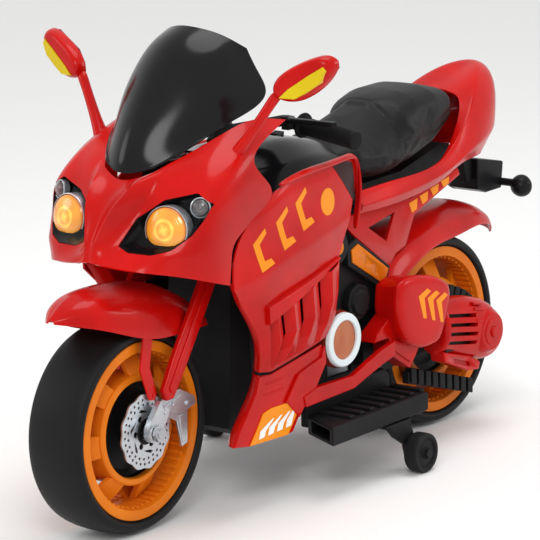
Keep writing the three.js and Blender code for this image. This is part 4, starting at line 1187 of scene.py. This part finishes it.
plate_outline = [(20, 402), (105, 403), (215, 400), (346, 426), (352, 414), (222, 372),
                 (196, 326), (168, 318), (150, 300), (56, 368)]
for side, hand in SIDES:
    bm = bmesh.new()
    plate(bm, plate_outline, side * 86.4, side * 92.0)
    rounded(bm, 1.6, 2)
    strut = make_piece(f"side_plate_{hand}", bm, abs_red_gloss, "chassis",
                       (f"frame_plate_{hand}",))
    bm = bmesh.new()
    plate(bm, [(95, 374), (143, 343), (167, 386)], side * 70, side * 110)
    carve(strut, bm)
    soften(strut, 1.2, 2, 50)
    for i in range(4):
        y = 206 + 30 * i
        z = 386 + 6.5 * i
        bar = [(y, z + 7), (y + 8, z - 10 + 2 * i), (y + 22, z - 6 + 2 * i), (y + 24, z + 11)]
        sticker(f"tail_bar_{hand}_{i + 1}", bar, strut, side, 0.35, vinyl_orange, "chassis")


# ---------------------------------------------------------------- power unit covers
# Dummy engine casing in black with an orange dial, an orange ribbed plate and a round
# lobed cover; on the left a pale clutch ring with a coppery centre stands proud of it.

casing_outline = [(-20, 396), (18, 396), (50, 362), (150, 284), (112, 240), (96, 236), (40, 210),
                  (-20, 236), (-70, 250), (-70, 330)]
for side, hand in SIDES:
    bm = bmesh.new()
    plate(bm, casing_outline, side * 60.6, side * 85.0)
    rounded(bm, 3.0, 3)
    surround = [(26, 356), (52, 366), (142, 304), (134, 284), (108, 278), (30, 326)]
    add_bm = bmesh.new()
    plate(add_bm, surround, side * 84.0, side * 99.0)
    boss(add_bm, mm(0, -2, 362), 30, side * 84, side * 103, 40, 27)
    boss(add_bm, mm(0, -2, 362), 21, side * 100, side * 105.6, 40, 19)
    boss(add_bm, mm(0, 58, 262), 31, side * 84, side * 98, 8, 30)
    boss(add_bm, mm(0, 58, 262), 24, side * 96, side * 103.6, 8, 20)
    boss(add_bm, mm(0, 58, 262), 11, side * 100, side * 104, 24, 9)
    for i in range(5):
        plate(add_bm, [(-60 + 14 * i, 300), (-53 + 14 * i, 300), (-53 + 14 * i, 345),
                       (-60 + 14 * i, 345)], side * 84, side * 90)
    rounded(add_bm, 2.0, 3)
    poured(bm, add_bm)
    make_piece(f"engine_casing_moulding_{hand}", bm, polypropylene_black_sparked, "chassis",
               (f"engine_casing_{hand}",))
    bm = bmesh.new()
    plate(bm, [(36, 350), (54, 357), (134, 302), (128, 290), (110, 286), (38, 330)], side * 98.4,
          side * 101.4)
    boss(bm, mm(0, -2, 362), 11, side * 105, side * 106, 32)
    rounded(bm, 1.2, 2)
    orange_plate = make_piece(f"engine_badge_{hand}", bm, abs_orange_satin, "chassis")
    bm = bmesh.new()
    for i in range(2):
        y = 72 + 26 * i
        z = 335 - 18 * i
        plate(bm, [(y, z), (y + 2.5, z - 1), (y + 2.5, z - 15), (y, z - 14)], side * 99,
              side * 104)
    carve(orange_plate, bm)

ring_centre = mm(0, -40, 227)
ring_gloss = moulded("abs_pale_grey_gloss", "#e4ebee", "#d3dcdf", 0.22, 5.0, 0.04)
copper_film = moulded("abs_copper_metallised", "#c98c6a", "#a8593c", 0.3, 2.2, 0.3)
copper_film.node_tree.nodes["Principled BSDF"].inputs["Metallic"].default_value = 0.6
smoke_red = moulded("polystyrene_smoked_red", "#a33320", "#5c140f", 0.2, 5.0, 0.05)
bm = bmesh.new()
spun(bm, [(31, 133), (31, 140), (32.5, 141.2), (40.5, 141.2), (42.4, 139.4), (43.2, 133)],
     ring_centre, 72)
make_piece("clutch_pale_ring", bm, ring_gloss, "chassis", ("clutch_ring",))
bm = bmesh.new()
spun(bm, [(0, 137.6), (6, 138), (10, 137), (20, 136.6), (26, 137.6), (31, 136.8), (31, 130),
          (0, 130)], ring_centre, 56, close=False)
make_piece("clutch_centre_film", bm, copper_film, "chassis")
bm = bmesh.new()
spun(bm, [(36, 88), (41, 100), (45.2, 118), (45.6, 126), (43.6, 134), (40, 134), (34, 88)],
     ring_centre, 72)
make_piece("clutch_smoked_drum", bm, smoke_red, "chassis")
bm = bmesh.new()
for i in range(12):
    a = 2 * pi * i / 12
    boss(bm, ring_centre + mm(0, 38.6 * cos(a), 38.6 * sin(a)), 4.2, 90, 120, 12)
make_piece("clutch_cage_bars", bm, polystyrene_black_and_painted_shade, "chassis")


# ---------------------------------------------------------------- gear covers and canisters
# Red shield over the final drive with three printed chevrons, a square block under it, and a
# canister behind with dark slots and a stepped hub. Black ribbed swing arm parts show between.

chevron = [(172, 265), (181.6, 258.4), (163, 251), (168, 216.5), (159, 219), (147, 257)]
cover_outline = [(91, 246), (96, 284), (119, 295), (160, 291), (200, 281), (236, 258), (230, 223),
                 (211, 181), (186, 172), (156, 173), (110, 195)]
for side, hand in SIDES:
    bm = bmesh.new()
    rings = []
    for x, grow in ((95, 0.8), (108, 0.9), (138, 0.99), (147, 0.97), (151.5, 0.86), (153, 0.6),
                    (153.4, 0.25)):
        rings.append([(side * x, 164 + (y - 164) * grow, 232 + (z - 232) * grow)
                      for y, z in cover_outline])
    grid = lofted(bm, rings)
    crease_line(bm, grid[2] + grid[2][:1], 0.35)
    for corner in (1, 5, 9):
        crease_line(bm, [row[corner] for row in grid[:4]], 0.5)
    cover = make_piece(f"gear_cover_shield_{hand}", bm, abs_red_gloss, "chassis",
                       (f"gear_cover_{hand}",))
    smoothed(cover, 3)
    apply_modifiers(cover)
    bm = bmesh.new()
    plate(bm, [(108, 236), (66, 212), (56, 199), (96, 199), (97, 172), (152, 138), (186, 176),
               (160, 220)], side * 94, side * 127)
    plate(bm, [(104, 196), (104, 178), (150, 148), (172, 170)], side * 126, side * 130)
    rounded(bm, 3.2, 3)
    make_piece(f"gear_cover_block_{hand}", bm, abs_red_gloss, "chassis")
    for i in range(3):
        shape = [(y + 24.0 * i - 6, z - 8.0 * i + 4) for y, z in chevron]
        sticker(f"chevron_{hand}_{i + 1}", shape, cover, side, 0.35, vinyl_orange, "chassis",
                5.0)
    rings = []
    for y, x, z, rx, rz in ((224, 118, 188, 31, 40), (240, 119, 186, 33, 45),
                            (284, 121, 178, 35, 51), (318, 122, 170, 36, 52),
                            (346, 123, 162, 35.5, 51), (366, 123, 157, 33, 46),
                            (380, 122, 153, 28, 38), (386, 121, 152, 20, 27)):
        rings.append([(side * (x + rx * cos(2 * pi * (i + 0.5) / 20)), y,
                       z + rz * sin(2 * pi * (i + 0.5) / 20)) for i in range(20)])
    bm = bmesh.new()
    grid = lofted(bm, rings)
    crease_line(bm, grid[5] + grid[5][:1], 0.6)
    can = make_piece(f"canister_shell_{hand}", bm, abs_red_gloss, "chassis",
                     (f"canister_{hand}",))
    smoothed(can, 2)
    apply_modifiers(can)
    bm = bmesh.new()
    for i in range(4):
        z = 158 + 15 * i
        plate(bm, [(232, z + 3), (300, z - 9), (303, z - 3), (232, z + 9)], side * 138, side * 170)
    carve(can, bm)
    soften(can, 1.0, 2, 50)
    bm = bmesh.new()
    plate(bm, [(232, 216), (300, 208), (300, 142), (232, 148)], side * 128, side * 141)
    make_piece(f"canister_core_{hand}", bm, polystyrene_black_and_painted_shade, "chassis")
    bm = bmesh.new()
    boss(bm, mm(0, 341, 162), 38, side * 148, side * 159, 40, 30)
    boss(bm, mm(0, 341, 162), 25, side * 157, side * 161.5, 40, 22)
    boss(bm, mm(0, 341, 162), 10, side * 160, side * 165, 24, 8.5)
    for i in range(4):
        z = 218 - 9 * i
        plate(bm, [(300, z), (326, z - 6), (326, z - 9.5), (300, z - 3.5)], side * (139 + 3 * i),
              side * (150 + 2.4 * i))
    rounded(bm, 1.2, 2, 30)
    make_piece(f"canister_ribs_{hand}", bm, abs_red_gloss, "chassis")
    bm = bmesh.new()
    plate(bm, [(226, 150), (300, 128), (330, 112), (326, 100), (296, 104), (230, 132)], side * 112,
          side * 141)
    rounded(bm, 2.4, 3)
    shoe = make_piece(f"canister_strut_{hand}", bm, abs_red_gloss, "chassis")
    bm = bmesh.new()
    plate(bm, [(252, 134), (300, 118), (304, 110), (256, 124)], side * 136, side * 150)
    carve(shoe, bm)
    bm = bmesh.new()
    for y, z, tilt in ((306, 236, 0), (324, 234, 3), (342, 229, 7), (359, 222, 11), (375, 213, 15),
                       (390, 202, 19), (403, 189, 22)):
        plate(bm, [(y, z), (y + 13, z - tilt * 0.6), (y + 8 - tilt, z - 34),
                   (y - 6 - tilt, z - 32)], side * 74, side * 88)
    plate(bm, [(300, 226), (350, 216), (396, 186), (384, 160), (330, 190), (298, 200)], side * 72,
          side * 84)
    for i in range(9):
        y, z = 205 + 20 * i, 118 - 6.4 * i
        plate(bm, [(y, z + 4), (y + 14, z), (y + 14, z - 24), (y, z - 21)], side * 78, side * 92)
    plate(bm, [(200, 116), (384, 58), (384, 40), (200, 96)], side * 76, side * 88)
    rounded(bm, 1.2, 2)
    make_piece(f"swing_arm_ribs_{hand}", bm, polypropylene_black_sparked, "chassis")


# ---------------------------------------------------------------- footboards and pedal
# Black step each side: a skirted tray with raised tread ribs, a kerb along the inside and an
# open toe pocket in front. The right one carries the pedal in place of its front ribs.

plan = [(112, -106), (190, -146), (190, 112), (112, 118)]
for side, hand in SIDES:
    bm = bmesh.new()
    plate(bm, [(side * x, y) for x, y in plan], 86.5, 116.5, "XY")
    rounded(bm, 4.0, 3)
    board = make_piece(f"footboard_tray_{hand}", bm, polypropylene_black_sparked, "chassis",
                       (f"footboard_{hand}",))
    bm = bmesh.new()
    plate(bm, [(side * x, y) for x, y in ((124, -160), (180, -160), (180, -72), (124, -72))],
          93, 111, "XY")
    carve(board, bm)
    soften(board, 1.0, 2, 55)
    bm = bmesh.new()
    for i in range(8 if side > 0 else 4):
        y = -88 + 27 * (i if side > 0 else i + 4)
        plate(bm, [(side * x, y + o) for x, o in ((121, 0), (181, 0), (181, 12), (121, 12))],
              116.0, 121.6, "XY")
    rounded(bm, 1.6, 3)
    make_piece(f"footboard_tread_{hand}", bm, polypropylene_black_sparked, "chassis")
    bm = bmesh.new()
    plate(bm, [(-104, 96), (116, 96), (116, 134), (104, 146), (-96, 146), (-104, 136)], side * 97,
          side * 112)
    rounded(bm, 3.0, 3)
    make_piece(f"footboard_kerb_{hand}", bm, polypropylene_black_sparked, "chassis")

bm = bmesh.new()
plate(bm, [(-18, 120.4), (-18, 125.6), (-92, 141.4), (-95, 138), (-92, 134.6)], -175, -125)
for i in range(6):
    y = -30 - 10.5 * i
    rise = 126.2 + 0.213 * (-18 - y)
    plate(bm, [(y, rise + 1.2), (y - 4, rise + 2.0), (y - 4, rise - 2), (y, rise - 2)], -170, -130)
rounded(bm, 0.9, 2)
make_piece("pedal_pad", bm, abs_black_satin, "throttle", ("accelerator_pedal",))


# ---------------------------------------------------------------- stabiliser wheels
# A flat black bracket bolts under each footboard and cranks out to a small plain wheel on a
# pin, which keeps the motorcycle upright.

arm_outline = [(0, 85.4), (60, 85.4), (74, 48), (72, 22), (56, 22), (50, 44), (22, 62)]
for side, hand in SIDES:
    bm = bmesh.new()
    plate(bm, arm_outline, side * 178.4, side * 189.6)
    plate(bm, [(-4, 80.4), (64, 80.4), (64, 85.4), (-4, 85.4)], side * 140.4, side * 189.0)
    rounded(bm, 1.8, 3)
    boss(bm, mm(0, 64, 31.606), 5.0, side * 186, side * 223.6, 24)
    boss(bm, mm(0, 64, 31.606), 8.4, side * 219.6, side * 223.9, 6)
    boss(bm, mm(0, 64, 31.606), 11.0, side * 188, side * 193.2, 24)
    make_piece(f"stabiliser_arm_{hand}", bm, polypropylene_black_sparked, "chassis",
               (f"stabiliser_bracket_{hand}",))
    hub = middle(f"stabiliser_wheel_{hand}")
    bm = bmesh.new()
    half_tread = [(5.6, -12), (9, -12), (10, -9.6), (22, -8.6), (24.6, -11.6), (29.6, -12),
                  (31.2, -10.2), (31.6, -6)]
    spun(bm, half_tread + [(r, -a) for r, a in reversed(half_tread)], hub, 64)
    make_piece(f"stabiliser_roller_{hand}", bm, polypropylene_black_sparked,
               f"stabiliser_{hand}", (f"stabiliser_wheel_{hand}",))


# ---------------------------------------------------------------- seat
# Foam saddle in smooth black vinyl: low nose pad, a hump behind it and a pillion pad, the
# cover drawn tight over the foam with a welted seam round the flank and one across the step.

def vinyl_cover():
    """Calendered black vinyl: pebbled grain, soft creases and a satin wear sheen on the crown."""
    material, tree, shader, coords = start_material("vinyl_black_pebbled")
    worn = add_node(tree, "ShaderNodeTexNoise",
                    inputs={"Vector": coords, "Scale": 9.0, "Detail": 5.0})
    tinted(tree, shader, worn.outputs["Fac"], "#0c0c0d", "#151516")
    shader.inputs["Specular IOR Level"].default_value = 0.2
    glossed(tree, shader, worn.outputs["Fac"], 0.34, 0.56)
    pebble = add_node(tree, "ShaderNodeTexVoronoi", inputs={"Vector": coords, "Scale": 650.0})
    bumped(tree, shader, pebble.outputs["Distance"], 0.22, 0.0005)
    return material


vinyl_black_pebbled = vinyl_cover()
# Stations from nose to back: distance along, half width, underside and crown, in mm.
seat_stations = [(50, 36, 484, 494), (62, 60, 462, 503), (96, 82, 447, 510),
                 (150, 92, 443, 514), (200, 92, 445, 526), (228, 88, 448, 547),
                 (262, 84, 452, 558), (320, 78, 465, 562), (366, 68, 490, 553),
                 (385, 52, 511, 541)]
SEAT_CAP = 22 * MM          # furthest that the cover may swell from the foam
SEAM_DEPTH = 2.4 * MM
SEAM_HALF_WIDTH = 5 * MM
FLANK_SEAM_Z = 0.472        # welt round the flank, rising towards the back
STEP_SEAM_Y = 0.205         # seam across the step between the rider's pad and the pillion pad
rings = []
for y, half, low, high in seat_stations:
    level = (low + high) / 2
    tall = (high - low) / 2
    ring = []
    for i in range(28):
        a = 2 * pi * i / 28
        c, s = cos(a), sin(a)
        ring.append((half * abs(c) ** 0.62 * (1 if c > 0 else -1), y,
                     level + tall * abs(s) ** 0.7 * (1 if s > 0 else -1)))
    rings.append(ring)
bm = bmesh.new()
lofted(bm, rings)
bmesh.ops.recalc_face_normals(bm, faces=bm.faces[:])
foam = bpy.data.meshes.new("saddle_blank")
bm.to_mesh(foam)
bm.free()
saddle = bpy.data.objects.new("saddle_cover", foam)
bpy.context.scene.collection.objects.link(saddle)
cells = saddle.modifiers.new("Even mesh", "REMESH")
cells.mode = "VOXEL"
cells.voxel_size = 5 * MM
apply_modifiers(saddle)
start = [v.co.copy() for v in saddle.data.vertices]
cover = saddle.modifiers.new("Cover", "CLOTH")
cover.settings.quality = 6
cover.settings.mass = 0.3
cover.settings.use_pressure = True
cover.settings.uniform_pressure_force = 4.0
cover.settings.tension_stiffness = 40
cover.settings.compression_stiffness = 40
cover.settings.effector_weights.gravity = 0.0
for step in range(1, 21):
    bpy.context.scene.frame_set(step)
apply_modifiers(saddle)
bpy.context.scene.frame_set(1)
for v, was in zip(saddle.data.vertices, start):
    moved = v.co - was
    if moved.length > SEAT_CAP:
        v.co = was + moved.normalized() * SEAT_CAP
# The cover stays inside the room between the spine and the tail shell.
seat_low, seat_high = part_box("seat")
for v in saddle.data.vertices:
    for i in range(3):
        v.co[i] = min(max(v.co[i], seat_low[i] + 0.5 * MM), seat_high[i] - 0.2 * MM)
    flank = abs(v.co.z - (FLANK_SEAM_Z + max(0, v.co.y - 0.2) * 0.28))
    across = abs(v.co.y - STEP_SEAM_Y)
    pull = SEAM_DEPTH * (max(0, 1 - flank / SEAM_HALF_WIDTH)
                         + max(0, 1 - across / SEAM_HALF_WIDTH))
    v.co -= v.normal * min(pull, SEAM_DEPTH)
saddle.data.materials.append(vinyl_black_pebbled)
saddle.data.shade_smooth()
finer = saddle.modifiers.new("Cover skin", "SUBSURF")
finer.levels = finer.render_levels = 1
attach(saddle, "chassis")
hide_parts("seat")


# ---------------------------------------------------------------- tail shell
# Red tail: two flanks under the saddle that sweep up and meet behind it in a short fin, made
# as one thin moulding with a sharp shoulder line.

tail_half = [
    [(0, 490, 432), (66, 452, 430), (94, 360, 434), (101, 284, 416), (107, 165, 406),
     (110, 48, 408)],
    [(0, 535, 480), (68, 490, 470), (101, 375, 452), (109, 284, 430), (115, 165, 421),
     (116, 48, 420)],
    [(0, 544, 552), (58, 505, 532), (92, 392, 482), (103, 284, 446), (108, 165, 440),
     (106, 50, 437)],
    [(0, 520, 568), (40, 480, 558), (82, 396, 508), (97, 288, 448), (102, 166, 442),
     (99, 54, 440)],
    [(0, 426, 536), (30, 420, 532), (64, 394, 512), (93, 290, 444), (98, 168, 439), (95, 56, 437)],
]
bm = bmesh.new()
grid = skinned(bm, both_sides(tail_half))
crease_line(bm, grid[1], 0.6)
crease_line(bm, grid[3], 0.55)
tail = make_shell("tail_moulding", bm, mm(0, 300, 440), 3.0, abs_red_gloss, "chassis",
                  ("tail_shell",))
soften(tail, 0.8, 2, 55)


# ---------------------------------------------------------------- rear fender
# Broad red arch over the rear tyre. It starts at the gear covers, runs back at full width and
# narrows to a flat tongue under the lamp.

rear_stations = [(128, 106, 262, 300), (168, 104, 276, 334), (230, 98, 298, 346),
                 (300, 86, 308, 352), (370, 76, 308, 354), (440, 66, 310, 348),
                 (500, 50, 298, 324), (530, 30, 278, 290)]
bm = bmesh.new()
grid = skinned(bm, arch(rear_stations))
for column in (2, 8):
    crease_line(bm, [row[column] for row in grid], 0.4)
guard = make_shell("rear_fender_shell", bm, mm(0, 320, 200), 3.2, abs_red_gloss, "chassis",
                   ("rear_fender",))
bm = bmesh.new()
plate(bm, [(100, 200), (155, 200), (155, 400), (100, 400)], -86, 86)
carve(guard, bm)
soften(guard, 0.9, 2, 55)


# ---------------------------------------------------------------- tail lamp and signals
# Black lamp box under the fin with a number-plate ledge, and a round signal on a stub each
# side, its red lens facing back.

bm = bmesh.new()
plate(bm, [(494.5, 356), (494.5, 408.5), (572, 391.5), (565.5, 346.5), (520, 346.5)], -29.6, 29.6)
rounded(bm, 3.0, 3)
for side in (1, -1):
    turn = Matrix.Translation(mm(side * 40, 563, 358)) @ Matrix.Rotation(pi / 2, 4, "Y")
    bmesh.ops.create_cone(bm, cap_ends=True, cap_tris=False, segments=20, radius1=6.5 * MM,
                          radius2=6.5 * MM, depth=28 * MM, matrix=turn)
make_piece("tail_lamp_box", bm, abs_black_satin, "chassis", ("tail_lamp",))
lamp_back = Vector((0, 0.99, 0.12)).normalized()
red_tail = lens_material("polycarbonate_red_tail", "#e0403a", "#b0130f", "#4d0705",
                         mm(0, 566, 368), lamp_back, 20, 18, 0.05)
bm = bmesh.new()
plate(bm, [(-20, 356), (20, 356), (22, 382), (-22, 382)], 567, 574, "XZ")
rounded(bm, 1.6, 3)
make_piece("tail_lamp_lens", bm, red_tail, "chassis")
for side, hand in SIDES:
    signal_centre = mm(side * 66, 569.99, 353)
    bm = bmesh.new()
    spun(bm, [(0, -18.6), (6, -17.7), (11, -15.2), (15.4, -10.6), (18, -5), (18.8, 0), (18.4, 4),
              (17.2, 6), (15.8, 6)], signal_centre, 48, axis=(0, 1, 0), close=False)
    make_piece(f"signal_cup_{hand}", bm, abs_black_satin, "chassis",
               (f"rear_signal_{hand}",))
    red_signal = lens_material(f"polycarbonate_red_{hand}", "#f0524a", "#c01a14", "#5a0a07",
                               signal_centre, Vector((0, 1, 0)), 16, 16, 0.05)
    bm = bmesh.new()
    spun(bm, [(15.8, 2), (15.8, 6), (14.6, 10), (11.4, 14), (6.4, 17), (0, 18.2)],
         signal_centre, 48, axis=(0, 1, 0), close=False)
    make_piece(f"signal_lens_{hand}", bm, red_signal, "chassis")
